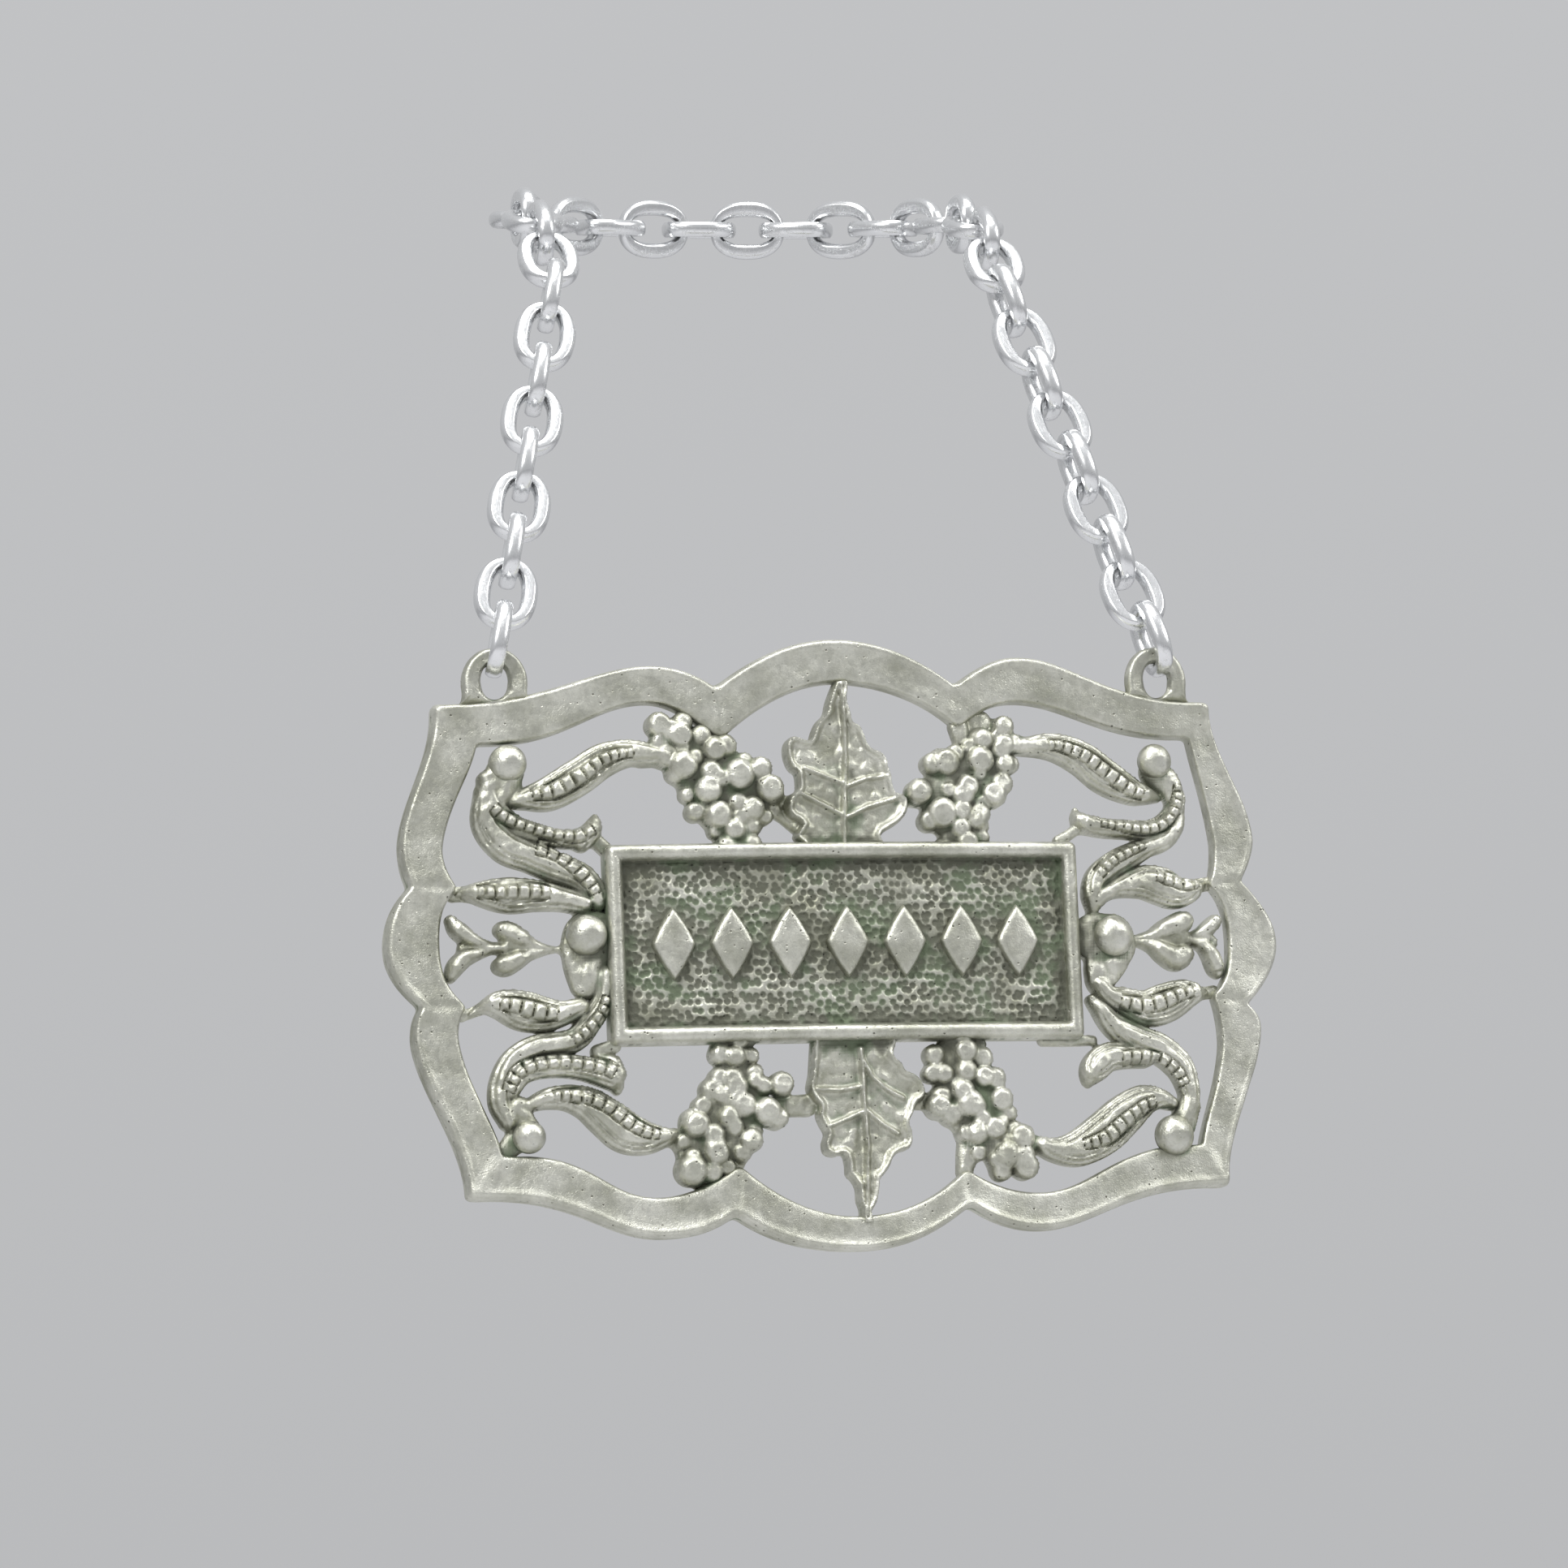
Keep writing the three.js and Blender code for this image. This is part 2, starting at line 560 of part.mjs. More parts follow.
// The strands lean in towards the neck, and lie back as on a decanter's shoulder.
const backward = STRAND_BACK * DEG;
const strandDrop = strandRun * Math.cos(strandLean);
const strandFacing = new THREE.Vector3(0, Math.cos(backward), -Math.sin(backward));
const plateShift = new THREE.Vector3(
  0,
  shoulder.y - strandDrop * Math.sin(backward) - earDepthAt,
  shoulder.z - strandDrop * Math.cos(backward) - EAR_BAR_Z,
);

for (const sign of [-1, 1]) {
  const side = sign < 0 ? "left" : "right";
  const down = new THREE.Vector3(
    sign * Math.sin(strandLean),
    -Math.cos(strandLean) * Math.sin(backward),
    -Math.cos(strandLean) * Math.cos(backward),
  );
  const bar = new THREE.Vector3(sign * shoulderX, shoulder.y, shoulder.z);
  for (let i = 0; i < STRAND_LINKS; i++) {
    const edge = i % 2 === 0;
    const reach = edge ? NEAR_REACH : BAR_REACH;
    const centre = bar.clone().addScaledVector(down, reach);
    bar.addScaledVector(down, 2 * reach);
    const across = edge ? strandFacing.clone() : strandFacing.clone().cross(down);
    label.add(placedLink(`${side}_link_${i + 1}`, centre, down, across));
  }
}

const plate = labelPlate();
plate.translate(plateShift.x, plateShift.y, plateShift.z);
label.add(named("label_plate", plate, PEWTER));

export default label;
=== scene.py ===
# %% [markdown]
# # A decanter label on its chain
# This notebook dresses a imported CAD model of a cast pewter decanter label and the
# silver-plated chain that it hangs on. The CAD gives the sizes, the places and the moving
# bodies. Blender gives the carved surface, the worn metal, the light and the camera.
# All sizes below are millimetres, and they become metres when a mesh is made.

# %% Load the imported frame
import json
import math

import bpy
import numpy as np
from mathutils import Matrix, Vector


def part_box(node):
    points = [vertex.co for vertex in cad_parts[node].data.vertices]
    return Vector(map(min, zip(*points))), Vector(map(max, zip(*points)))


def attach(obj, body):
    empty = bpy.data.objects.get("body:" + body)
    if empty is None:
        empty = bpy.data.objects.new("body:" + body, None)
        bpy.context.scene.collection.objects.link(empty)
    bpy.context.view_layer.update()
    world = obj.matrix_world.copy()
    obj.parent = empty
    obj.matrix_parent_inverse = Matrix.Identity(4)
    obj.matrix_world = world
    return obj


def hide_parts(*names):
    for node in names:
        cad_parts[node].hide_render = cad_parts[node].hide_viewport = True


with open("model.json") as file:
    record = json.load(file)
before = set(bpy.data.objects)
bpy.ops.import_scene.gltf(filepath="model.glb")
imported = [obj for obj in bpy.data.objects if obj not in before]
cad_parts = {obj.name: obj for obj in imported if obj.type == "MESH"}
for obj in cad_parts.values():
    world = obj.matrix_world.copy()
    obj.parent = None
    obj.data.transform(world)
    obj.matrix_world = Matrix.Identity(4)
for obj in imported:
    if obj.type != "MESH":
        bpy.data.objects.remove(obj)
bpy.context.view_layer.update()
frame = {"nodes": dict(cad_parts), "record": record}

MM = 0.001

# %% [markdown]
# The plate is drawn flat and then bent: a point is so far across, so far up and so far
# out of its back. Its middle and the start of its curve are read from the CAD node's box,
# so a change in the CAD moves the dressed plate with it.

# %% Where the plate is
CURVE_RADIUS = 200.0
plate_low, plate_high = [np.array(corner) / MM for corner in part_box("label_plate")]
HALF_WIDTH = plate_high[0]
PLATE_Y = plate_high[1] - HALF_WIDTH**2 / (2 * CURVE_RADIUS)
PLATE_Z = (plate_low[2] + plate_high[2]) / 2
print("plate half width", round(HALF_WIDTH, 2), "middle", round(PLATE_Y, 2), round(PLATE_Z, 2))


def on_plate(points):
    """Across, up and depth become x, y and z: y is the curve, across squared over twice
    the radius, less the depth, because the viewer is on the minus y side."""
    across, up, depth = points[..., 0], points[..., 1], points[..., 2]
    bend = across**2 / (2 * CURVE_RADIUS)
    return np.stack([across, PLATE_Y + bend - depth, PLATE_Z + up], -1)


# %% [markdown]
# The photograph was taken from a little to the left of the plate and a little below its
# middle, with a long lens. The camera stands at that angle and distance, and is aimed so
# that the plate's middle lands on the same pixel as in the photograph.

# %% Camera
PHOTO_WIDTH = 1932
CAMERA_AZIMUTH = math.radians(-12.9)
CAMERA_ELEVATION = math.radians(-7.8)
CAMERA_ROLL = math.radians(-2.4)
CAMERA_DISTANCE = 450.0
PIXELS_PER_MM = 17.61
MIDDLE_PIXEL = np.array([1038.4, 1163.6])
SENSOR = 36.0

focal_pixels = PIXELS_PER_MM * CAMERA_DISTANCE
flat = math.cos(CAMERA_ELEVATION)
to_plate = np.array([-math.sin(CAMERA_AZIMUTH) * flat, math.cos(CAMERA_AZIMUTH) * flat,
                     -math.sin(CAMERA_ELEVATION)])
level = np.cross(to_plate, [0, 0, 1])
level /= np.linalg.norm(level)
upright = np.cross(level, to_plate)
right = level * math.cos(CAMERA_ROLL) + upright * math.sin(CAMERA_ROLL)
above = upright * math.cos(CAMERA_ROLL) - level * math.sin(CAMERA_ROLL)
off_centre = (MIDDLE_PIXEL - PHOTO_WIDTH / 2) / focal_pixels
forward = to_plate - right * off_centre[0] + above * off_centre[1]
forward /= np.linalg.norm(forward)
right -= forward * (right @ forward)
right /= np.linalg.norm(right)
above = np.cross(right, forward)

camera_data = bpy.data.cameras.new("photo_camera")
camera_data.sensor_width = SENSOR
camera_data.lens = SENSOR * focal_pixels / PHOTO_WIDTH
camera = bpy.data.objects.new("photo_camera", camera_data)
bpy.context.scene.collection.objects.link(camera)
stand = np.array([0, PLATE_Y, PLATE_Z]) - to_plate * CAMERA_DISTANCE
camera.matrix_world = Matrix([
    [right[0], above[0], -forward[0], stand[0] * MM],
    [right[1], above[1], -forward[1], stand[1] * MM],
    [right[2], above[2], -forward[2], stand[2] * MM],
    [0, 0, 0, 1]])
bpy.context.scene.camera = camera
print("camera at", np.round(stand, 1), "mm, lens", round(camera_data.lens, 1), "mm")

# %% [markdown]
# The frame, the ears, the panel, the lozenges, the beads and the chain links are lofts: a row
# of rings, each ring a closed profile, joined point to point. They differ only in how their
# rings are worked out. They could be drawn by hand in Edit Mode, but a formula keeps every
# size in one place. A second kind of mesh, for the openwork relief, comes further down.

# %% Lofts and meshes
def loft(rings, recess, closed=False):
    """Faces join each ring's points to the next ring's and the last point to the first.
    A closed row joins its last ring to its first; an open one gets a fan over each end.
    The sum of the corner volumes tells which way the faces look, and they are turned if
    they look inwards. Returns points, quads, triangles and each point's recess."""
    count, around = rings.shape[:2]
    i, j = np.meshgrid(np.arange(count if closed else count - 1), np.arange(around), indexing="ij")
    ahead, beside = (i + 1) % count, (j + 1) % around
    quads = np.stack([i * around + j, i * around + beside, ahead * around + beside,
                      ahead * around + j], -1).reshape(-1, 4)
    points = rings.reshape(-1, 3)
    depth_of_recess = np.broadcast_to(recess, (count, around)).reshape(-1)
    triangles = np.zeros((0, 3), int)
    if not closed:
        ring = np.arange(around)
        after = (ring + 1) % around
        last = (count - 1) * around
        points = np.concatenate([points, rings[:1].mean(1), rings[-1:].mean(1)])
        triangles = np.concatenate([
            np.stack([np.full(around, count * around), after, ring], -1),
            np.stack([np.full(around, count * around + 1), last + ring, last + after], -1)])
        ends = [depth_of_recess[:around].mean(), depth_of_recess[-around:].mean()]
        depth_of_recess = np.append(depth_of_recess, ends)
    return facing_out(points, quads, triangles, depth_of_recess)


def facing_out(points, quads, triangles, recess):
    """Six times the volume is the sum, over the triangles, of one corner dotted with the
    cross product of the other two. Where it is negative every face is turned round."""
    parts = np.concatenate([triangles, quads[:, [0, 1, 2]], quads[:, [0, 2, 3]]])
    a, b, c = (points[parts[:, k]] for k in range(3))
    if (a * np.cross(b, c)).sum() < 0:
        quads, triangles = quads[:, ::-1], triangles[:, ::-1]
    return points, quads, triangles, recess


def joined(shells):
    """Several closed shells as one: each one's face numbers move up by the points before it."""
    starts = np.cumsum([0] + [len(shell[0]) for shell in shells])
    return (np.concatenate([shell[0] for shell in shells]),
            np.concatenate([shell[1] + start for shell, start in zip(shells, starts)]),
            np.concatenate([shell[2] + start for shell, start in zip(shells, starts)]),
            np.concatenate([shell[3] for shell in shells]))


SHARP_ANGLE = math.radians(48)


def make_piece(name, shell, material, body, replaced=()):
    """The shell's points, in millimetres in the CAD frame, as a mesh object at the origin."""
    points, quads, triangles, recess = shell
    mesh = bpy.data.meshes.new(name)
    mesh.from_pydata(points * MM, [], quads.tolist() + triangles.tolist())
    attribute = mesh.attributes.new("recess", "FLOAT", "POINT")
    attribute.data.foreach_set("value", recess.astype(np.float32))
    mesh.polygons.foreach_set("use_smooth", np.ones(len(mesh.polygons), bool))
    mesh.set_sharp_from_angle(angle=SHARP_ANGLE)
    mesh.materials.append(material)
    piece = bpy.data.objects.new(name, mesh)
    bpy.context.scene.collection.objects.link(piece)
    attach(piece, body)
    if replaced:
        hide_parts(*replaced)
    print(name, "-", len(quads) * 2 + len(triangles), "triangles")


def on_label(name, shell, material, replaced=()):
    """A plate piece: its points go from across, up and depth to the CAD frame."""
    points, *rest = shell
    moved = facing_out(on_plate(points), *rest)
    make_piece(name, moved, material, "label", replaced)


# %% [markdown]
# Curves are given by a few points that the line passes through. Between them it is a
# Catmull-Rom spline, which needs no handles, and it is sampled at even steps of length, so
# that pearls and grooves keep one size all along a scroll.

# %% Curves through points
SAMPLES_PER_SPAN = 24


def smooth_path(points, count):
    """Each span is the Catmull-Rom cubic of the four points round it, and the samples are
    then spaced evenly along the length. Returns the samples."""
    given = np.asarray(points, float)
    padded = np.concatenate([2 * given[:1] - given[1:2], given, 2 * given[-1:] - given[-2:-1]])
    spans = len(given) - 1
    share = np.linspace(0, spans, spans * SAMPLES_PER_SPAN + 1)
    span = np.minimum(share.astype(int), spans - 1)
    t = (share - span)[:, None]
    a, b, c, d = (padded[span + k] for k in range(4))
    curve = 0.5 * (2 * b + (c - a) * t + (2 * a - 5 * b + 4 * c - d) * t**2
                   + (3 * b - a - 3 * c + d) * t**3)
    length = np.append(0, np.cumsum(np.linalg.norm(np.diff(curve, axis=0), axis=1)))
    even = np.linspace(0, length[-1], count)
    return np.stack([np.interp(even, length, curve[:, k]) for k in range(curve.shape[1])], -1)


def smooth_step(low, high, value):
    """Zero below low, one above high, and a cubic with level ends between them."""
    t = np.clip((value - low) / (high - low), 0, 1)
    return t * t * (3 - 2 * t)


def hump(value, width):
    """A bell: one at zero, falling with the square of the distance over the width."""
    return np.exp(-((value / width) ** 2))


def ripple(across, up, size):
    """The unevenness of a casting: three crossing waves a few millimetres long."""
    return size * (np.sin(0.83 * across + 1.31 * up + 0.4) + np.sin(1.57 * across - 0.92 * up + 2.1)
                   + np.sin(0.41 * across + 2.33 * up + 4.0)) / 3


print("curve helpers ready")

# %% [markdown]
# ## Shader tools
# Metal gets its looks from numbers that change over the surface. The nodes could be placed
# and wired by hand, which soon becomes a tangle. Here a small class wraps a node's output, so
# that sums and products are written as they are on paper, and one method adds every other
# node.

# %% Node arithmetic
class Wire:
    """One node output. Plus, minus and times on it add Math nodes to its tree."""

    def __init__(self, finish, socket):
        self.finish = finish
        self.socket = socket

    def __add__(self, other):
        return self.finish.maths("ADD", self, other)

    def __sub__(self, other):
        return self.finish.maths("SUBTRACT", self, other)

    def __mul__(self, other):
        return self.finish.maths("MULTIPLY", self, other)

    def __radd__(self, other):
        return self.finish.maths("ADD", other, self)

    def __rsub__(self, other):
        return self.finish.maths("SUBTRACT", other, self)

    def __rmul__(self, other):
        return self.finish.maths("MULTIPLY", other, self)


class Finish:
    """A material and its node tree."""

    def __init__(self, name):
        self.material = bpy.data.materials.new(name)
        self.material.use_nodes = True
        self.tree = self.material.node_tree
        self.shader = self.tree.nodes["Principled BSDF"]
        self.here = self.node("ShaderNodeTexCoord", output="Object")

    def plug(self, socket, value):
        """A wire is linked to the socket, and a number or a colour is set on it."""
        if isinstance(value, Wire):
            self.tree.links.new(value.socket, socket)
        else:
            socket.default_value = value

    def node(self, kind, settings=(), output=0, **sockets):
        """Adds a node, sets its settings, then plugs its sockets, by name or as i and a
        number. Returns the output that is asked for."""
        made = self.tree.nodes.new(kind)
        for key, value in dict(settings).items():
            setattr(made, key, value)
        for key, value in sockets.items():
            named = key.replace("_", " ")
            index = int(key[1:]) if key[1:].isdigit() else named
            self.plug(made.inputs[index], value)
        return Wire(self, made.outputs[output])

    def maths(self, operation, *values):
        """A Math node of that operation."""
        return self.node("ShaderNodeMath", {"operation": operation},
                         **{f"i{k}": value for k, value in enumerate(values)})

    def held(self, value):
        """A value kept between nought and one."""
        return self.node("ShaderNodeClamp", Value=value)

    def noise(self, size_mm, detail=3.0, roughness=0.55, where=None):
        """Noise whose blotches are about size_mm across."""
        return self.node("ShaderNodeTexNoise", Vector=where or self.here, Scale=1 / (size_mm * MM),
                         Detail=detail, Roughness=roughness)

    def between(self, low, high, value):
        """Nought where value is below low, one above high, with a smooth rise between."""
        return self.node("ShaderNodeMapRange", {"interpolation_type": "SMOOTHSTEP"},
                         Value=value, From_Min=low, From_Max=high)

    def tint(self, factor, first, second):
        """Two colours mixed by a factor."""
        return self.node("ShaderNodeMix", {"data_type": "RGBA"}, output=2,
                         i0=factor, i6=first, i7=second)

    def wear_in(self, **sockets):
        """Plugs the named inputs of the surface shader."""
        for key, value in sockets.items():
            self.plug(self.shader.inputs[key.replace("_", " ")], value)


print("node tools ready")

# %% [markdown]
# ## The frame band
# On the real label the frame is one scalloped band, with a thin bright ridge just inside its
# outer edge. It could be a curve object with a bevel, but then both of its edges would follow
# one line. Here two outlines are worked out. Each is a quarter drawn with Bezier curves and
# mirrored twice. The real casting isn't even, so each quarter's knots are nudged a little.

# %% Outlines of the frame
OUTER = [([0, 21.6], [0, 0], [3.4, 0]), ([8.65, 18.45], [-2.45, 1.85], [1.5, 1.1]),
         ([13.4, 20.05], [-1.9, 0], [4, 0]), ([27.6, 17.4], [-7.6, -0.4], [-0.3, -3.6]),
         ([30.8, 6.9], [-0.2, 3.3], [0, -1]), ([29.9, 4.45], [0.4, 0.5], [1.2, -1.1]),
         ([32.2, 0], [0, 1.7], [0, 0])]
INNER = [([0, 18.6], [0, 0], [3.0, 0]), ([8.3, 15.1], [-2.3, 2.2], [1.5, 1.1]),
         ([13.4, 17.2], [-1.9, 0], [4, 0]), ([24.9, 14.35], [-6.3, -0.4], [0.3, -1.95]),
         ([27.5, 6.7], [-0.3, 3.0], [0, -1]), ([26.75, 4.2], [0.4, 0.5], [1.2, -1.1]),
         ([28.3, 0], [0, 1.7], [0, 0])]
OUTER_NUDGES = {
    (1, 1): [[0, -0.1], [-0.1, -0.2], [0, 0.25], [0, -0.1], [-0.2, 0.5], [-0.5, -0.1], [-0.2, 0]],
    (1, -1): [[0, 0], [-0.6, 0.2], [-0.2, 0.35], [-0.2, 0.1], [-0.3, -0.8], [-0.4, 0], [-0.2, 0]],
    (-1, -1): [[0, 0], [0, 0.6], [0.3, 0.4], [-0.5, 0.1], [-0.3, -0.7], [0, -0.5], [0, -0.2]],
    (-1, 1): [[0, -0.1], [0, -0.3], [0, -0.35], [0.9, -0.1], [0.2, 0.4], [0.5, 0], [0, 0.2]]}
INNER_NUDGES = {
    (1, 1): [[0, -0.2], [0.4, 0], [-0.3, -0.2], [1.0, 0.3], [-0.1, 0.3], [0.1, -0.1], [-0.1, 0]],
    (1, -1): [[0, 0.6], [-0.4, 0.9], [-0.2, 0.55], [0.5, 0.15], [-0.2, 0.5], [0, -0.3], [-0.1, 0]],
    (-1, -1): [[0, 0.6], [-0.1, 0.35], [0.4, 0.4], [-0.4, 0.15], [-0.2, -0.6], [-0.1, -0.2],
               [0.1, 0]],
    (-1, 1): [[0, -0.2], [0.1, -0.8], [0, -0.15], [0.5, 0], [0.5, 0.2], [0.25, 0.1], [0.1, 0.3]]}
OUTLINE_STEPS = [44, 28, 70, 54, 14, 28]
CORNER_SOFTENING = 5


def quarter_line(knots, nudges):
    """Each stretch is a cubic Bezier from one knot to the next. It is then moved by the
    nudges of its two knots, shared out along it by a smooth step."""
    stretches = []
    for spot, count in enumerate(OUTLINE_STEPS):
        (start, _, leave), (end, arrive, _) = knots[spot], knots[spot + 1]
        start, end = np.array(start, float), np.array(end, float)
        t = np.linspace(0, 1, count, endpoint=False)[:, None]
        line = ((1 - t)**3 * start + 3 * (1 - t)**2 * t * (start + leave)
                + 3 * (1 - t) * t**2 * (end + arrive) + t**3 * end)
        ease = t * t * (3 - 2 * t)
        nudge, next_nudge = np.array(nudges[spot]), np.array(nudges[spot + 1])
        stretches.append(line + nudge * (1 - ease) + next_nudge * ease)
    return np.concatenate(stretches + [np.array(knots[-1][0], float)[None] + nudges[-1]])


def outline(knots, nudges):
    """Four quarters joined end to end, from the top clockwise, and a running average that
    rounds the sharp corners a little."""
    quarter = {side: quarter_line(knots, nudges[side]) * side for side in nudges}
    whole = np.concatenate([quarter[1, 1][:-1], quarter[1, -1][::-1][:-1], quarter[-1, -1][:-1],
                            quarter[-1, 1][::-1][:-1]])
    for _ in range(CORNER_SOFTENING):
        whole = (np.roll(whole, 1, 0) + 2 * whole + np.roll(whole, -1, 0)) / 4
    return whole


outer_line, inner_line = outline(OUTER, OUTER_NUDGES), outline(INNER, INNER_NUDGES)
print("frame outline:", len(outer_line), "steps")

# %% [markdown]
# Across the band stands a section: the outer side, the ridge, a nearly flat face that falls
# inwards, and a plain back. The scallops meet in creases, and the four corners are mitred,
# as the carver of the pattern left them. Sweeping one section between two lines gives all of
# that as one smooth skin.

# %% Section of a flat band
FRONT_POINTS = 36
BAND_UNEVENNESS = 0.05
CREASE_CUT, CREASE_WIDTH = 0.10, 0.34
SWELL_LIFT, SWELL_WIDTH = 0.05, 1.1
MITRE_LIFT, MITRE_WIDTH, MITRE_FADE = 0.17, 0.5, 0.7
BAND_BACK = np.array([[1, 0.9], [1, 0.4], [0.99, 0.05], [0.75, 0], [0.25, 0], [0.01, 0.05],
                      [0, 0.4], [0, 0.8]])
FRAME_SECTION = [[0, 1.0], [0.03, 1.42], [0.07, 1.70], [0.11, 1.82], [0.16, 1.82], [0.23, 1.74],
                 [0.34, 1.67], [0.55, 1.63], [0.78, 1.61], [0.9, 1.56], [0.96, 1.46], [1.0, 1.2]]


def to_line(x, y, line):
    """The distance of every point to the nearest place on a line of several segments."""
    best = np.full(np.broadcast(x, y).shape, 99.0)
    for (ax, ay), (bx, by) in zip(line, line[1:]):
        dx, dy = bx - ax, by - ay
        t = np.clip(((x - ax) * dx + (y - ay) * dy) / (dx * dx + dy * dy), 0, 1)
        best = np.minimum(best, np.hypot(x - ax - t * dx, y - ay - t * dy))
    return best


def band_shell(outer, inner, section, back, creases=(), ridges=()):
    """At each step round the band stands a section: shares of the way from the outer line
    to the inner one, and a depth at each share. Across the band run creases, pressed in by
    a bell with a low swell round it, and mitre ridges, raised by a bell that fades inwards."""
    face = smooth_path(section, FRONT_POINTS)
    share = np.concatenate([face[:, 0], back[:, 0]])
    points = outer[:, None] * (1 - share[None, :, None]) + inner[:, None] * share[None, :, None]
    x, y = points[..., 0], points[..., 1]
    front = np.concatenate([np.ones(FRONT_POINTS), np.zeros(len(back))])
    rise = ripple(x, y, BAND_UNEVENNESS)
    for spot in creases:
        away = to_line(x, y, [outer[spot], inner[spot]])
        rise = rise - CREASE_CUT * hump(away, CREASE_WIDTH)
        rise = rise + SWELL_LIFT * hump(away, SWELL_WIDTH)
    for spot in ridges:
        away = to_line(x, y, [outer[spot], inner[spot]])
        rise = rise + MITRE_LIFT * hump(away, MITRE_WIDTH) * (1 - MITRE_FADE * share)
    depth = np.concatenate([face[:, 1], back[:, 1]]) + front * rise
    return loft(np.concatenate([points, depth[..., None]], -1), 0.0, closed=True)


QUARTER = sum(OUTLINE_STEPS)
turns = np.cumsum(OUTLINE_STEPS)


def in_every_quarter(spots):
    """The same places of a quarter's outline, as step numbers in all four quarters."""
    return [place % (4 * QUARTER) for spot in spots
            for place in (spot, 2 * QUARTER - spot, 2 * QUARTER + spot, -spot)]


creases, ridges = in_every_quarter((turns[0], turns[4])), in_every_quarter((turns[2],))
frame_shell = band_shell(outer_line, inner_line, FRAME_SECTION, BAND_BACK, creases, ridges)
cast = {"frame_band": [frame_shell]}
print("frame:", len(cast["frame_band"][0][0]), "points")

# %% [markdown]
# Two ears stand on the frame. Each is a flat horseshoe with a raised outer edge and a
# pear-shaped hole, and the last link of each strand goes through it. A torus would be
# quicker, but it has neither the flat face nor the feet that run out into the frame, so an
# ear is the same kind of band as the frame, between two other outlines.

# %% Ears
EAR_POINTS = 60
FOOT_SINK, FOOT_FROM, FOOT_TO, FOOT_DEPTH = 0.6, 16.9, 17.9, 1.2
EAR_AT = {-1: 24.05, 1: 23.65}
EAR_OUTER = [
    [0, 21.15], [0.95, 20.95], [1.75, 20.3], [2.2, 19.4], [2.3, 18.6], [2.25, 17.9], [2.4, 17.3],
    [2.9, 16.75], [2.2, 16.4], [1.1, 16.35], [0, 16.35]]
EAR_INNER = [
    [0, 20.0], [0.42, 19.9], [0.78, 19.55], [0.95, 19.0], [0.93, 18.55], [0.85, 18.15],
    [0.7, 17.85], [0.5, 17.66], [0.3, 17.57], [0.15, 17.52], [0, 17.5]]
EAR_SECTION = [
    [0, 1.25], [0.06, 1.55], [0.14, 1.76], [0.24, 1.84], [0.36, 1.84], [0.52, 1.78],
    [0.75, 1.72], [0.88, 1.62], [1.0, 1.3]]
EAR_BACK = np.array([[1, 1.1], [0.97, 0.85], [0.5, 0.8], [0.03, 0.85], [0, 1.05]])


def ear_shell(side):
    """Half of each outline is a smooth line through its points. The other half is its
    mirror image, and both are moved to the ear's place. The feet sink into the frame."""
    loops = []
    for half in (EAR_OUTER, EAR_INNER):
        line = smooth_path(half, EAR_POINTS)
        whole = np.concatenate([line, line[::-1][1:-1] * [-1, 1]])
        loops.append(whole + [side * EAR_AT[side], 0])
    points, *rest = band_shell(loops[0], loops[1], EAR_SECTION, EAR_BACK)
    in_front = points[:, 2] > FOOT_DEPTH
    sunk = FOOT_SINK * (1 - smooth_step(FOOT_FROM, FOOT_TO, points[:, 1])) * in_front
    return np.column_stack([points[:, :2], points[:, 2] - sunk]), *rest


cast["ears"] = [ear_shell(-1), ear_shell(1)]
print("ears:", len(cast["ears"]))

# %% [markdown]
# ## The panel
# The panel is a tray with a rounded rim. Its ground is matted with a ring punch, so it is
# covered with little round cells. A bump map could fake them, but they are deep enough to
# catch the light from the side. So the whole front is one height field: depth as a function
# of how far across and how far up.

# %% Panel tray and punched ground
PANEL_HALF = (16.9, 7.0)
PANEL_ROUND = 0.5
RIM_WIDTH = 1.25
RIM_DEPTH = 2.3
GROUND_DEPTH = 1.3
PANEL_BACK = 0.1
CELL = 0.55
MARK_SEED, MARK_TABLE, MARK_WANDER = 7, 128, 0.34
RIM_BAR_MIDDLE, RIM_BAR_HALF = 0.60, 0.65
RIM_FOOT = 0.1
MARK_RIDGE, MARK_MIDDLE = 0.15, 0.05


def rim_distance(across, up):
    """How far inside a rectangle with rounded corners a point lies."""
    past_x = np.abs(across) - (PANEL_HALF[0] - PANEL_ROUND)
    past_y = np.abs(up) - (PANEL_HALF[1] - PANEL_ROUND)
    outside = np.hypot(np.maximum(past_x, 0), np.maximum(past_y, 0))
    return PANEL_ROUND - outside - np.minimum(np.maximum(past_x, past_y), 0)


def punched(across, up):
    """Distance to the nearest punch mark over the cell size. Marks stand one in each cell
    of a brick pattern, moved a little by a seeded random amount."""
    rng = np.random.default_rng(MARK_SEED)
    table = rng.uniform(-MARK_WANDER, MARK_WANDER, (MARK_TABLE, MARK_TABLE, 2))
    row = np.floor(up / CELL).astype(int)
    best = np.full(np.shape(across), 9.0)
    for drow in (-1, 0, 1):
        r = row + drow
        slide = 0.5 * (r % 2)
        column = np.floor(across / CELL - slide).astype(int)
        for dcolumn in (-1, 0, 1):
            c = column + dcolumn
            move = table[r % MARK_TABLE, c % MARK_TABLE]
            x = (c + 0.5 + slide + move[..., 0]) * CELL
            y = (r + 0.5 + move[..., 1]) * CELL
            best = np.minimum(best, np.hypot(across - x, up - y) / CELL)
    return best


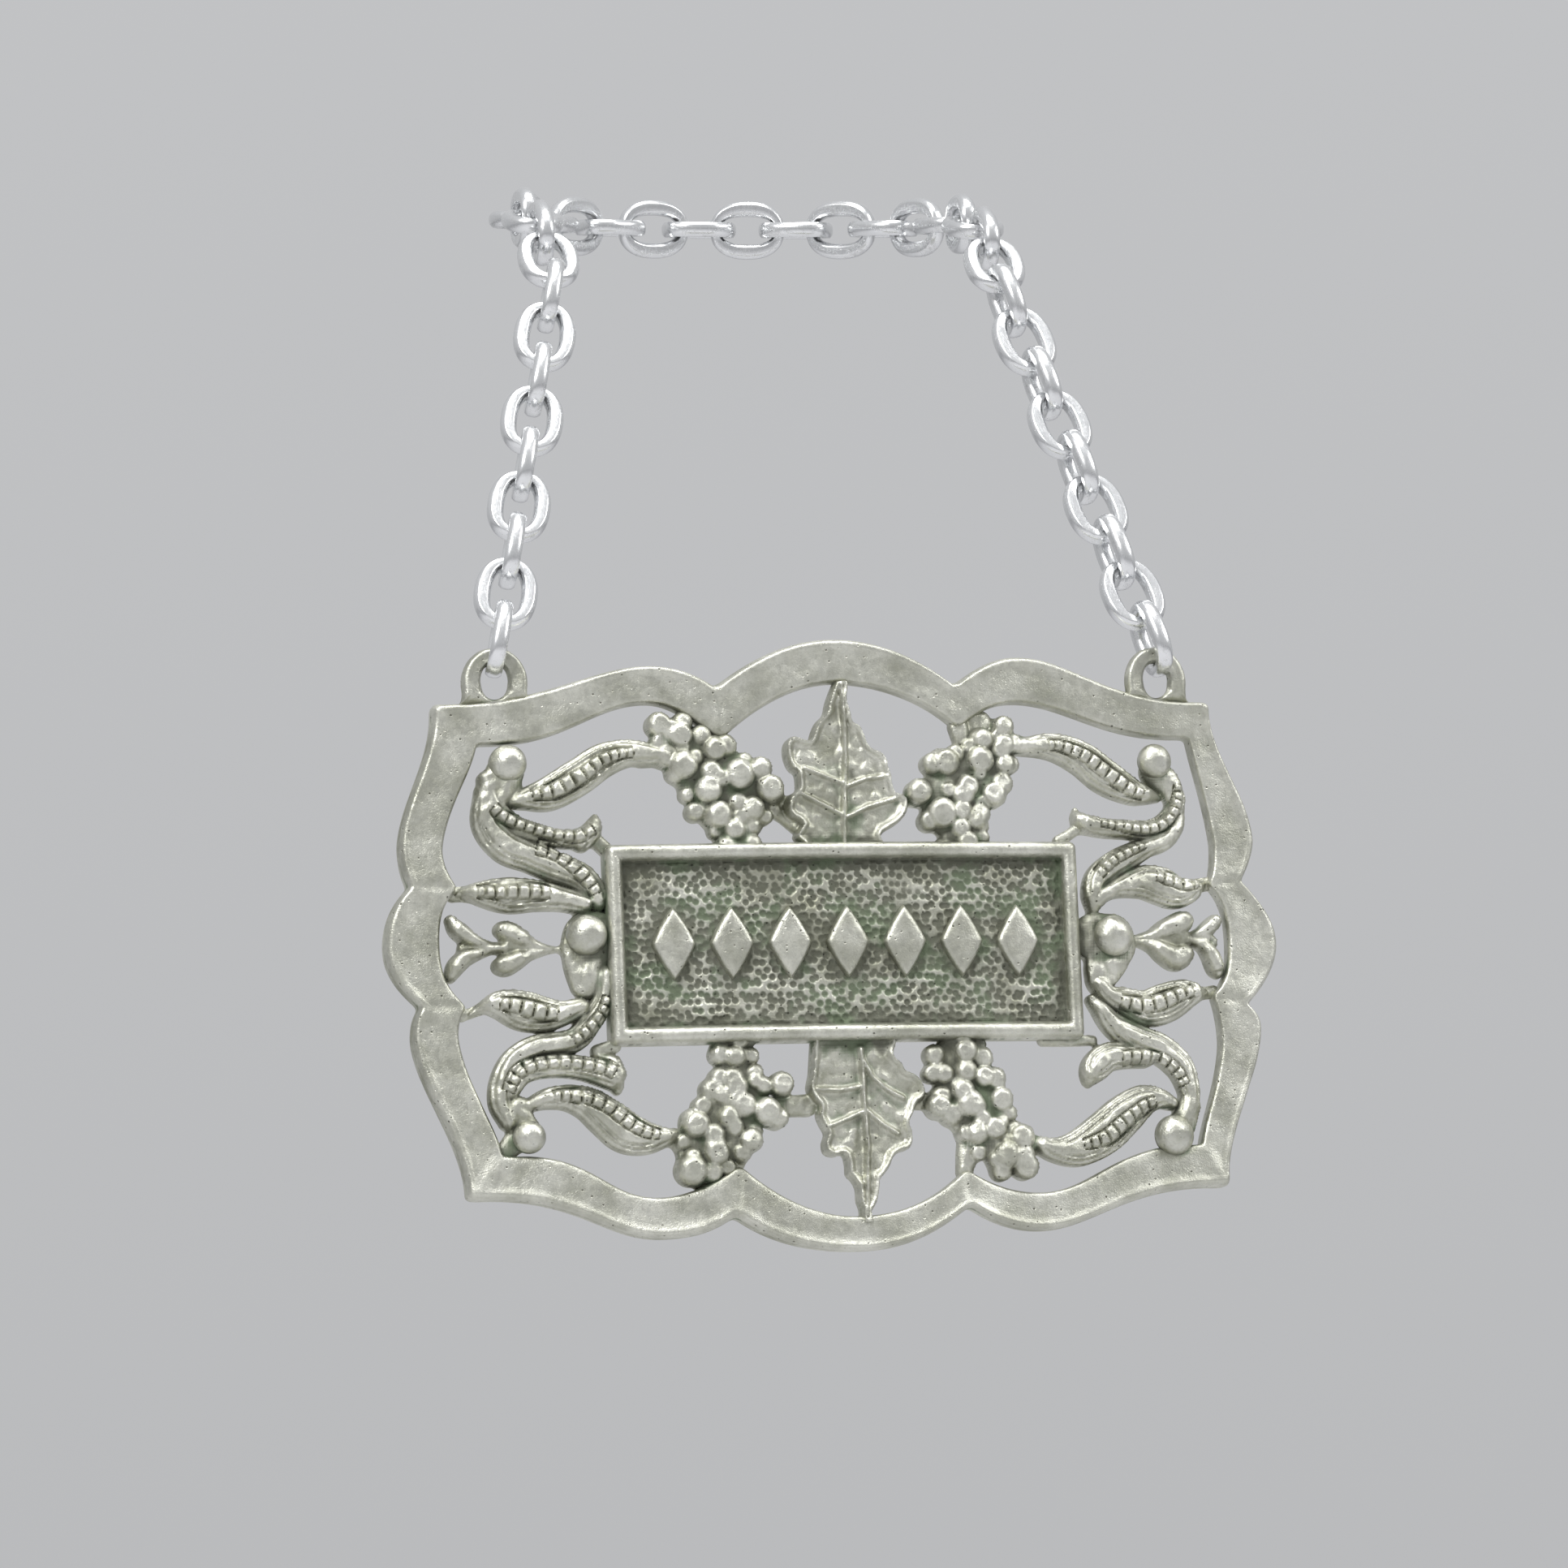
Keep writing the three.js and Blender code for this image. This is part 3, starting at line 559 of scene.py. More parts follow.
def panel_front(across, up):
    """The rim is a rounded bar; inside it the ground is level but for the punch marks, each
    a ring pressed in round a small raised middle."""
    inside = rim_distance(across, up)
    bar = np.clip(1 - np.abs((inside - RIM_BAR_MIDDLE) / RIM_BAR_HALF)**2.5, 0, 1)**0.55
    marks = punched(across, up)
    strength = 0.75 + 0.45 * ripple(up * 0.8, across * 0.6, 1)
    cells = MARK_RIDGE * smooth_step(0.22, 0.6, marks) + MARK_MIDDLE * hump(marks, 0.13)
    ground = GROUND_DEPTH + cells * strength
    ground += ripple(across, up, 0.06)
    rim = GROUND_DEPTH - RIM_FOOT + (RIM_DEPTH - GROUND_DEPTH + RIM_FOOT) * bar
    rim += ripple(up, across, 0.03)
    under_rim = np.where(inside > 0.5, ground, 0)
    return np.where(inside < RIM_WIDTH, np.maximum(rim, under_rim), ground)


def panel_shell():
    """Rings stand across the panel one after another, each with the front's points and
    three back ones. Near the ends they are shorter, which rounds the corners. The ground
    gets a recess of its own in the middle of each punch mark, in patches, which the pewter
    shows as dirt and painted shade."""
    across = np.linspace(-PANEL_HALF[0], PANEL_HALF[0], 361)
    past = np.clip(np.abs(across) - (PANEL_HALF[0] - PANEL_ROUND), 0, PANEL_ROUND)
    half = PANEL_HALF[1] - PANEL_ROUND + np.sqrt(PANEL_ROUND**2 - past**2)
    share = np.linspace(-1, 1, 151)
    up = half[:, None] * share
    wide = np.broadcast_to(across[:, None], up.shape)
    front = np.stack([wide, up, panel_front(wide, up)], -1)
    back_up = half[:, None] * np.array([0.995, 0, -0.995])
    back = np.stack([np.broadcast_to(across[:, None], back_up.shape), back_up,
                     np.full(back_up.shape, PANEL_BACK)], -1)
    marks = punched(wide, up)
    patches = 0.5 + 0.5 * ripple(wide * 0.9, up * 1.3, 1)
    # Painted shade mixed with dirt: the pressed-in middle of each punch mark, in patches, gets
    # extra recess.
    low = (0.74 - 0.56 * smooth_step(0.2, 0.6, marks)) * (0.5 + 0.75 * patches)
    ground_only = front[..., 2] < GROUND_DEPTH + 0.35
    dirt_and_shade = np.concatenate([low * ground_only, np.zeros(back_up.shape)], 1)
    return loft(np.concatenate([front, back], 1), dirt_and_shade)


cast["panel"] = [panel_shell()]
print("panel:", len(cast["panel"][0][0]), "points")

# %% [markdown]
# A plain row of seven raised lozenges stands on the ground. They are cut as raised letters
# are, with nearly flat tops, softly rounded edges and steep sides. A bevelled flat curve
# could make them too, but its edge would be the same all round, as if cut by a machine.

# %% Lozenges
LOZENGE_HALF = (1.5, 2.5)
LOZENGE_TOP = 2.0
LOZENGE_PITCH = 4.1
LOZENGE_COUNT = 7
LOZENGE_POWER = 1.15
# A negative recess: the lozenges get less painted shade and dark film, and more rubbed metal.
LOZENGE_LIGHTENING = -0.25
LOZENGE_STEPS = np.array([
    [1.04, 1.0], [1.03, 1.4], [1.0, 1.66], [0.96, 1.82], [0.90, 1.93], [0.82, 1.99],
    [0.7, LOZENGE_TOP + 0.03], [0.5, LOZENGE_TOP + 0.05], [0.25, LOZENGE_TOP + 0.06]])


def lozenge_shell(middle):
    """Rings of the same lozenge, shrunk step by step as they rise. Its outline is the
    curve where the share across and the share up, each to a power, sum to one. A power of
    one would make it straight-sided and sharp."""
    turn = np.linspace(0, 2 * math.pi, 96, endpoint=False)
    cos, sin = np.cos(turn), np.sin(turn)
    reach = (np.abs(cos)**LOZENGE_POWER + np.abs(sin)**LOZENGE_POWER)**(-1 / LOZENGE_POWER)
    outline_x, outline_y = LOZENGE_HALF[0] * cos * reach, LOZENGE_HALF[1] * sin * reach
    x = middle + outline_x * LOZENGE_STEPS[:, :1]
    y = outline_y * LOZENGE_STEPS[:, :1]
    depth = LOZENGE_STEPS[:, 1:] + ripple(x * 2 + middle, y * 2, 0.02)
    return loft(np.stack([x, y, depth], -1), LOZENGE_LIGHTENING)


cast["lozenges"] = [lozenge_shell((i - LOZENGE_COUNT // 2) * LOZENGE_PITCH)
                    for i in range(LOZENGE_COUNT)]
print("lozenges:", len(cast["lozenges"]))

# %% [markdown]
# ## Relief
# On the real casting leaves, pearls and grapes run into each other, because they were carved
# as one pattern. They could be separate pieces pushed together, but then every joint would
# show as a line. Here they are one field over the plate: at each place, one number is the
# distance to the nearest edge, negative on the metal, and the other is how high the metal
# stands. Each form is added with a soft maximum, which leaves a fillet where two forms meet.

# %% The two fields
CELL_SIZE = 0.08
FIELD_HALF = (29.2, 19.6)
RELIEF_BACK = 0.2
field_across = np.arange(-FIELD_HALF[0], FIELD_HALF[0], CELL_SIZE)
field_up = np.arange(-FIELD_HALF[1], FIELD_HALF[1], CELL_SIZE)
edge_field = np.full((len(field_across), len(field_up)), 9.0)
depth_field = np.full(edge_field.shape, RELIEF_BACK)


def soft_max(first, second, soft):
    """The higher of the two, plus a quarter of soft times the square of how near they are
    to each other, where they are nearer than soft."""
    near = np.maximum(soft - np.abs(first - second), 0) / soft
    return np.maximum(first, second) + near**2 * soft / 4


def window(low, high):
    """The part of the fields inside a box, and its across and up values."""
    rows = slice(*np.searchsorted(field_across, [low[0], high[0]]))
    columns = slice(*np.searchsorted(field_up, [low[1], high[1]]))
    return (rows, columns), field_across[rows, None], field_up[None, columns]


def add_form(where, edge, depth, soft=0.22):
    """Joins a form to the fields, with a fillet about as wide as soft."""
    edge_field[where] = -soft_max(-edge_field[where], -edge, soft)
    depth_field[where] = soft_max(depth_field[where], depth, soft)


def beside_path(knots, reach):
    """For every place near a line: how far along it, how far to its left, the half width
    there, how far past its ends, and the distance to the edge of the discs strung along it.
    The knots are rows of across, up and half width."""
    knots = np.asarray(knots, float)
    count = max(14, int(np.linalg.norm(np.diff(knots[:, :2], axis=0), axis=1).sum() / 0.09))
    path = smooth_path(knots, count)
    steps = np.linalg.norm(np.diff(path[:, :2], axis=0), axis=1)
    run = np.append(0, np.cumsum(steps))
    ahead = np.gradient(path[:, :2], axis=0)
    ahead /= np.linalg.norm(ahead, axis=1)[:, None]
    where, x, y = window(path[:, :2].min(0) - reach, path[:, :2].max(0) + reach)
    gap = np.hypot(x[..., None] - path[:, 0], y[..., None] - path[:, 1]) - path[:, 2]
    nearest = gap.argmin(-1)
    dx, dy = x - path[nearest, 0], y - path[nearest, 1]
    place = run[nearest] + dx * ahead[nearest, 0] + dy * ahead[nearest, 1]
    beside = dy * ahead[nearest, 0] - dx * ahead[nearest, 1]
    half = np.interp(place, run, path[:, 2])
    past = np.maximum(np.maximum(-place, place - run[-1]), 0)
    return where, place, beside, half, past, gap.min(-1), run, path


def blurred(field, steps):
    """A running average over steps cells, taken three times each way, close to a bell."""
    kernel = np.ones(steps) / steps
    for axis in (0, 1):
        for _ in range(3):
            field = np.apply_along_axis(np.convolve, axis, field, kernel, "same")
    return field


def random_waves(seed, steps):
    """Blurred random numbers, brought back to a spread of one."""
    field = blurred(np.random.default_rng(seed).normal(0, 1, edge_field.shape), steps)
    return field / field.std()


lumpiness = random_waves(8, 7)
print("fields:", edge_field.shape)

# %% [markdown]
# The carving follows no formula, so its lines were chosen on enlarged crops of the
# photograph. They could be written in millimetres, but then nobody could find them in the
# picture again. So they stay as they were read: the column, the row and the half width in a
# crop's enlarged pixels. A ray from the camera turns each reading into a place on the bent
# plate. The spears' shafts and a few webs were set in millimetres.

# %% Places read off the photograph
CROPS = {
    "whole": (0, 0, 1.0), "left": (480, 920, 4.6875), "right": (1320, 880, 5.0),
    "low_left": (580, 1180, 3.947), "low_right": (1160, 1180, 3.947),
    "grapes_top_left": (790, 840, 6.818), "grapes_top_right": (1110, 850, 7.5),
    "grapes_low_left": (830, 1280, 7.895), "grapes_low_right": (1120, 1280, 7.895),
    "spear_left": (470, 840, 3.488), "spear_right": (1180, 840, 3.488)}
READING_DEPTH = 1.6
RAY_STEPS = 30


def picked(crop, readings, depth=READING_DEPTH, in_mm=False):
    """A crop is the column and row of its corner in the photograph, and its enlargement.
    The ray from the camera through a reading's pixel is stretched, step by step, until it
    ends that depth in front of the plate's curve, y = x^2 / (2 R). Returns rows of across,
    up and half width in millimetres, to a hundredth. With in_mm the half widths were judged
    in millimetres, and a reading without a half width gives a row without one."""
    crop_left, crop_top, zoom = CROPS[crop]
    readings = np.array(readings, float)
    column = crop_left + readings[:, 0] / zoom - PHOTO_WIDTH / 2
    row = crop_top + readings[:, 1] / zoom - PHOTO_WIDTH / 2
    ray = forward + (np.outer(column, right) - np.outer(row, above)) / focal_pixels
    eye = -to_plate * CAMERA_DISTANCE
    reach = -(eye[1] + depth) / ray[:, 1]
    for _ in range(RAY_STEPS):
        place = eye + ray * reach[:, None]
        surface = place[:, 0]**2 / (2 * CURVE_RADIUS) - depth
        reach += (surface - place[:, 1]) / ray[:, 1]
    place = eye + ray * reach[:, None]
    half = readings[:, 2:] if in_mm else readings[:, 2:] / zoom / PIXELS_PER_MM
    return np.round(np.column_stack([place[:, 0], place[:, 2], half]), 2).tolist()


print("crops read:", len(CROPS))

# %% [markdown]
# Every scroll and narrow leaf is a rounded body along a line, wide in the middle and narrow
# at the ends, with two engraved lines inside each edge. A bevelled curve would be quick, but
# it would cut into its neighbours with hard lines. Here the depth is a formula of how far a
# place lies from the line, and neighbours melt together.

# %% Scroll bodies
BODY_CREST = 1.9
BODY_SIDE = 0.95
BODY_GROOVES = (-0.3, 0.3, -0.6, 0.6)
GROOVE_CUT, GROOVE_WIDTH = 0.2, 0.11
FULL_HEIGHT_FROM = 0.62


def add_body(knots, crest=BODY_CREST, side=BODY_SIDE, grooves=BODY_GROOVES, soft=0.22,
             reach=2.6, lumps=0.03):
    """Depth = side + (crest - side) times (1 - x^2.4)^0.6 at a share x of the half width.
    Thin ends lie lower. Each groove is a narrow bell that keeps its distance from the edge
    and fades out where the body is too narrow for it. Lumps are the casting's unevenness."""
    where, _, beside, half, _, edge, _, _ = beside_path(knots, reach)
    share = np.clip(1 + edge / np.maximum(half, 0.05), 0, 1)
    lift = np.clip(half / FULL_HEIGHT_FROM, 0.35, 1)**0.8
    depth = RELIEF_BACK + (side - RELIEF_BACK + (crest - side) * (1 - share**2.4)**0.6) * lift
    for inset in grooves:
        cut = GROOVE_CUT * smooth_step(abs(inset) + 0.25, abs(inset) + 0.5, half)
        line = np.sign(inset) * (half - abs(inset))
        depth = depth - cut * hump(beside - line, GROOVE_WIDTH)
    depth = depth + lumps * lumpiness[where] - 4 * np.maximum(edge, 0)
    add_form(where, edge, depth, soft)


LONG_LEAVES = [
    picked("whole", [(626, 988, 0.35), (650, 982, 0.75), (680, 975, 1.2), (715, 955, 1.3),
        (745, 935, 1.2), (775, 926, 0.95), (805, 928, 0.75), (830, 934, 0.5)], in_mm=True),
    picked("whole", [(1430, 981, 0.3), (1410, 977, 0.7), (1395, 972, 0.95), (1365, 955, 1.25),
        (1335, 932, 1.2), (1300, 918, 0.95), (1262, 918, 0.6), (1240, 922, 0.45)], in_mm=True),
    picked("low_left", [(250, 740, 20), (300, 710, 35), (380, 680, 50), (480, 675, 62),
        (580, 705, 80), (670, 770, 95), (760, 840, 100), (850, 870, 82), (940, 870, 52),
        (1020, 850, 25)]),
    picked("low_right", [(440, 860, 15), (490, 900, 40), (570, 930, 60), (680, 920, 90),
        (800, 850, 105), (900, 760, 100), (990, 690, 78), (1070, 680, 50), (1130, 700, 35)]),
]
SHORT_LEAVES = [
    picked("left", [(395, 850, 8), (440, 835, 30), (560, 840, 75), (700, 850, 102),
        (850, 850, 90), (1000, 870, 70), (1120, 900, 62)]),
    picked("low_left", [(5, 268, 6), (80, 230, 35), (160, 222, 70), (260, 250, 95),
        (360, 270, 85), (450, 265, 62), (540, 235, 45)]),
    picked("right", [(160, 1160, 45), (210, 1105, 50), (300, 1060, 62), (450, 1025, 100),
        (560, 1045, 118), (650, 1085, 105), (740, 1080, 75), (830, 1035, 18)]),
    picked("low_right", [(780, 130, 45), (830, 180, 50), (900, 205, 68), (1000, 240, 88),
        (1100, 215, 98), (1200, 172, 72), (1295, 165, 18)]),
]
FORKS = [
    picked("left", [(560, 180, 45), (600, 330, 60), (720, 440, 62), (850, 490, 60),
        (980, 520, 55), (1080, 520, 55), (1160, 490, 52), (1200, 430, 35)]),
    picked("left", [(540, 250, 40), (570, 430, 85), (680, 560, 100), (820, 620, 95),
        (950, 680, 90), (1100, 740, 85), (1190, 830, 70), (1215, 900, 45)]),
    picked("low_left", [(665, 80, 45), (650, 200, 52), (580, 320, 58), (500, 400, 60),
        (330, 430, 62), (220, 490, 60), (160, 590, 55), (150, 700, 52), (190, 790, 45)]),
    picked("low_left", [(200, 650, 40), (250, 570, 50), (330, 530, 55), (450, 520, 55),
        (560, 530, 60), (650, 560, 60), (710, 600, 45), (725, 640, 22)]),
    picked("right", [(650, 420, 40), (660, 520, 50), (630, 610, 60), (560, 680, 65),
        (470, 710, 65), (350, 700, 60), (220, 690, 60), (120, 670, 60), (60, 640, 40)]),
    picked("right", [(690, 560, 30), (660, 680, 50), (590, 770, 60), (490, 810, 62),
        (380, 860, 78), (270, 920, 84), (180, 1000, 80), (140, 1100, 60), (150, 1190, 40)]),
    picked("low_right", [(745, 200, 30), (770, 230, 38), (850, 320, 60), (960, 390, 75),
        (1080, 440, 75), (1170, 520, 70), (1210, 610, 58), (1220, 690, 48), (1190, 790, 40)]),
    picked("low_right", [(1000, 470, 60), (900, 470, 64), (820, 480, 72), (760, 530, 70),
        (730, 590, 30)]),
    picked("left", [(1120, 540, 60), (1180, 470, 55), (1200, 400, 22)]),
    picked("low_left", [(640, 480, 20), (700, 500, 35), (720, 560, 45)]),
    picked("right", [(110, 670, 55), (60, 630, 45), (45, 575, 14)]),
    picked("low_right", [(790, 500, 60), (740, 560, 45), (735, 610, 14)]),
]
for knots in LONG_LEAVES + SHORT_LEAVES:
    add_body(knots)
for knots in FORKS:
    add_body(knots, crest=1.84)
print("scrolls:", len(LONG_LEAVES + SHORT_LEAVES + FORKS))

# %% [markdown]
# From each side bead a shaft runs towards the frame, with two pairs of petals that open away
# from the bead like two nested tulips. They are the same bodies as the scrolls, without the
# engraved lines. Low webs, further down, fill the tulips' throats.

# %% Spears
SPEARS = [
    picked("spear_left", [(740, 1140, 8), (660, 1120, 25), (600, 1095, 42), (555, 1070, 46),
        (525, 1060, 36)]),
    picked("spear_left", [(740, 1145, 8), (650, 1165, 25), (590, 1190, 42), (545, 1210, 48),
        (520, 1215, 38)]),
    picked("spear_left", [(490, 1125, 12), (430, 1115, 25), (380, 1095, 35), (335, 1060, 38),
        (305, 1020, 25)]),
    picked("spear_left", [(490, 1145, 12), (430, 1160, 25), (370, 1180, 38), (330, 1215, 40),
        (305, 1260, 28)]),
    picked("spear_right", [(770, 1095, 10), (840, 1085, 25), (900, 1060, 45), (960, 1035, 52),
        (985, 1020, 42)]),
    picked("spear_right", [(770, 1108, 10), (840, 1125, 28), (900, 1160, 48), (950, 1180, 58),
        (985, 1165, 45)]),
    picked("spear_right", [(1025, 1085, 20), (1060, 1070, 28), (1090, 1050, 35),
        (1115, 1025, 32)]),
    picked("spear_right", [(1030, 1110, 22), (1070, 1130, 32), (1100, 1170, 40), (1120, 1220, 40),
        (1130, 1245, 25)]),
    [[-19.53, -0.11, 0.27], [-21.2, -0.04, 0.2], [-24.2, 0.08, 0.34], [-26.6, 0.14, 0.26]],
    [[20.52, 0.03, 0.25], [22.36, 0.04, 0.22], [24.82, 0.14, 0.34], [27.0, 0.25, 0.28]],
]
for knots in SPEARS:
    add_body(knots, crest=1.85, side=0.75, grooves=(), soft=0.10)
print("spear parts:", len(SPEARS))

# %% [markdown]
# ## Grapes and webs
# Each bunch sits on a web of solid metal, because the mould could not leave gaps between the
# grapes. Low webs also tie the ornaments to each other and to the frame. Without them thin
# ornaments would stand free, which a casting doesn't allow. A web is a body with its crest
# given first, no engraved lines, and a wide fillet.

# %% Webs
WEBS = [
    [1.5, picked("grapes_top_left", [(250, 430, 120), (500, 720, 250), (750, 950, 330),
        (800, 1200, 200), (800, 1400, 130)], depth=1.2)],
    [1.2, picked("grapes_top_left", [(640, 380, 90), (560, 520, 120),
        (500, 620, 120)], depth=1.2)],
    [1, picked("grapes_top_left", [(1100, 950, 50), (1190, 990, 50),
        (1290, 1010, 50)], depth=1.0)],
    [0.9, picked("grapes_top_left", [(1090, 1050, 70), (1200, 1120, 60),
        (1310, 1210, 60)], depth=1.0)],
    [1.35, picked("grapes_top_left", [(20, 620, 80), (120, 610, 80), (250, 600, 90)], depth=1.3)],
    [1.5, picked("grapes_top_right", [(950, 450, 120), (700, 750, 280), (500, 1000, 330),
        (560, 1250, 210), (620, 1430, 220)], depth=1.2)],
    [1.25, picked("grapes_top_right", [(540, 330, 90), (570, 450, 80),
        (600, 560, 90)], depth=1.2)],
    [1, picked("grapes_top_right", [(720, 320, 150), (700, 450, 150)], depth=1.0)],
    [0.9, picked("grapes_top_right", [(-40, 1030, 45), (150, 1030, 45)], depth=1.0)],
    [1.35, picked("grapes_top_right", [(1050, 480, 85), (1200, 500, 70)], depth=1.3)],
    [1.5, picked("grapes_low_left", [(620, 30, 130), (600, 300, 170), (600, 600, 300),
        (450, 900, 300), (250, 1150, 200)], depth=1.2)],
    [1.1, picked("grapes_low_left", [(950, 700, 110), (1120, 650, 105),
        (1310, 640, 110)], depth=1.1)],
    [0.95, picked("grapes_low_left", [(560, 1050, 100), (620, 1200, 90)], depth=1.0)],
    [0.85, picked("grapes_low_left", [(300, 1380, 110), (520, 1200, 100)], depth=1.0)],
    [1.2, picked("grapes_low_left", [(40, 1010, 60), (150, 1100, 90)], depth=1.2)],
    [1.5, picked("grapes_low_right", [(530, -20, 200), (500, 250, 260), (600, 600, 300),
        (800, 900, 250), (1050, 1150, 170)], depth=1.2)],
    [1.15, picked("grapes_low_right", [(560, 1290, 80), (590, 1120, 110),
        (640, 980, 150)], depth=1.2)],
    [0.95, picked("grapes_low_right", [(20, 600, 85), (250, 600, 85)], depth=1.0)],
    [1.15, picked("grapes_low_right", [(1200, 1050, 70), (1350, 1040, 60)], depth=1.2)],
    [0.8, picked("left", [(370, 850, 45), (450, 848, 40)], depth=0.9)],
    [0.8, picked("right", [(780, 1050, 40), (860, 1040, 45)], depth=0.9)],
    [0.8, picked("low_left", [(-40, 280, 30), (40, 255, 20)], depth=0.9)],
    [0.8, picked("low_right", [(1250, 170, 25), (1330, 165, 35)], depth=0.9)],
    [1.3, [[-17.3, 7.5, 0.5], [-16.4, 6.6, 0.5], [-15.67, 5.93, 0.5]]],
    [1.2, [[17.5, 8.14, 0.4], [16.75, 7.67, 0.4], [16, 7.2, 0.45]]],
    [1.2, picked("low_left", [(620, 455, 35), (700, 430, 35)], depth=0.8)],
    [1.2, picked("low_right", [(500, 400, 30), (620, 400, 30), (740, 400, 25)], depth=0.8)],
    [1.6, picked("whole", [(724, 1168, 1.75), (722, 1190, 1.4),
        (722, 1212, 1.0)], depth=1.2, in_mm=True)],
    [1.55, picked("whole", [(726, 1152, 1.7), (748, 1152, 1.6)], depth=1.2, in_mm=True)],
    [1.6, picked("whole", [(1371, 1165, 1.7), (1362, 1190, 1.4),
        (1355, 1205, 0.9)], depth=1.2, in_mm=True)],
    [1.55, picked("whole", [(1370, 1154, 1.65), (1350, 1154, 1.7)], depth=1.2, in_mm=True)],
    [1.4, [[-20.6, -0.08, 0.15], [-22.2, -0.02, 0.55], [-23.4, 0.06, 0.75], [-24.2, 0.1, 0.4]]],
    [1.4, [[-24.6, 0.12, 0.25], [-25.8, 0.12, 0.5], [-26.7, 0.15, 0.4]]],
    [1.4, [[21.2, 0.15, 0.2], [22.6, 0.1, 0.65], [23.9, 0.15, 1.0], [24.8, 0.3, 0.65]]],
    [1.4, [[25.7, 0.25, 0.35], [26.5, 0.2, 0.6], [27.0, 0, 0.5]]],
    [1.75, [[-23.5, 12.4, 1.25], [-24.14, 11.21, 1.15], [-24.55, 10.17, 0.9]]],
    [1.5, picked("whole", [(626, 950, 1.0), (630, 972, 0.8)], depth=1.2, in_mm=True)],
    [1.6, picked("whole", [(1425, 950, 1.1), (1440, 965, 0.9),
        (1450, 985, 0.7)], depth=1.3, in_mm=True)],
    [1.6, picked("whole", [(653, 1400, 1.0), (645, 1380, 0.8),
        (640, 1365, 0.8)], depth=1.2, in_mm=True)],
    [1.1, picked("whole", [(640, 1402, 0.9), (625, 1418, 0.7)], depth=1.0, in_mm=True)],
    [1.6, picked("whole", [(1449, 1398, 1.2), (1460, 1380, 0.9),
        (1466, 1362, 0.8)], depth=1.2, in_mm=True)],
]
for crest, knots in WEBS:
    add_body(knots, crest=crest, side=crest - 0.45, grooves=(), soft=0.35, reach=3.2, lumps=0.05)
print("webs:", len(WEBS))

# %% [markdown]
# A grape is a dome rubbed flat on top, a little crooked, because these parts touch the cloth
# first. Spheres could be scattered with a particle system, but the big grapes have their
# places in the photograph, so they are listed, and only the small ones between are random.

# %% Grapes
GRAPE_SEAT = 1.32
GRAPE_READING_DEPTH = 1.75
GRAPE_SWELL = 1.12
GRAPE_WORN = (0.8, 0.97)
GRAPE_TILT = 0.22
BUNCH_WEBS = (0, 5, 10, 15)
LUMP_ROWS, LUMP_SHARES = 9, (-0.9, 0, 0.9)
LUMP_SIZE = (0.55, 0.92)
LUMP_ACROSS, LUMP_ALONG, LUMP_DROP = 0.35, 0.4, 0.3
GRAPES = (
    picked("grapes_top_left", [(155, 350, 95), (330, 440, 100), (620, 560, 95), (360, 690, 115),
        (570, 900, 110), (830, 770, 125), (1010, 720, 90), (1090, 890, 110), (660, 1110, 110),
        (940, 1060, 100), (820, 1010, 80)], depth=GRAPE_READING_DEPTH)
    + picked("grapes_top_right", [(960, 330, 90), (770, 450, 90), (900, 420, 60), (740, 640, 120),
        (970, 680, 90), (430, 660, 115), (300, 670, 90), (180, 930, 110), (450, 920, 70),
        (590, 950, 100), (870, 960, 110), (390, 1130, 135),
        (710, 1190, 90)], depth=GRAPE_READING_DEPTH)
    + picked("grapes_low_left", [(690, 150, 60), (800, 400, 70), (540, 600, 80), (690, 640, 120),
        (920, 700, 130), (1060, 430, 110), (240, 830, 120), (600, 850, 90), (760, 980, 110),
        (420, 1100, 120), (190, 1270, 140), (1020, 760, 100),
        (470, 540, 90)], depth=GRAPE_READING_DEPTH)
    + picked("grapes_low_right", [(550, 200, 70), (350, 330, 90), (240, 330, 80), (300, 650, 110),
        (600, 620, 130), (740, 360, 100), (480, 430, 70), (910, 580, 110), (680, 900, 110),
        (910, 800, 70), (920, 920, 60), (970, 1120, 130), (1110, 950, 120),
        (1150, 1230, 120)], depth=GRAPE_READING_DEPTH))
chance = np.random.default_rng(11)


def add_dome(across, up, radius, seat, worn, tilt=(0, 0)):
    """Half a ball of that radius on the seat depth, cut by a slightly tilted plane at the
    worn share of the radius, with a soft edge to the cut."""
    reach = radius + 0.6
    where, x, y = window((across - reach, up - reach), (across + reach, up + reach))
    off = np.hypot(x - across, y - up)
    ball = seat + np.sqrt(np.maximum(radius**2 - off**2, 0)) - 3 * np.maximum(off - radius, 0)
    plane = seat + worn * radius + tilt[0] * (x - across) + tilt[1] * (y - up)
    add_form(where, off - radius, -soft_max(-ball, -plane, 0.08), 0.26)


for across, up, radius in GRAPES:
    add_dome(across, up, radius * GRAPE_SWELL, GRAPE_SEAT, chance.uniform(*GRAPE_WORN),
             chance.uniform(-GRAPE_TILT, GRAPE_TILT, 2))
for _, knots in (WEBS[spot] for spot in BUNCH_WEBS):
    line = smooth_path(knots, LUMP_ROWS)
    for (across, up, half), (ahead_x, ahead_y, _) in zip(line, np.gradient(line, axis=0)):
        length = math.hypot(ahead_x, ahead_y)
        for share in LUMP_SHARES:
            far = share * half + chance.uniform(-LUMP_ACROSS, LUMP_ACROSS)
            along = chance.uniform(-LUMP_ALONG, LUMP_ALONG)
            add_dome(across + along * ahead_x / length - far * ahead_y / length,
                     up + along * ahead_y / length + far * ahead_x / length,
                     chance.uniform(*LUMP_SIZE), GRAPE_SEAT - LUMP_DROP * share**2,
                     chance.uniform(*GRAPE_WORN))
lumps = LUMP_ROWS * len(LUMP_SHARES) * len(BUNCH_WEBS)
print("grapes:", len(GRAPES), "and small lumps:", lumps)

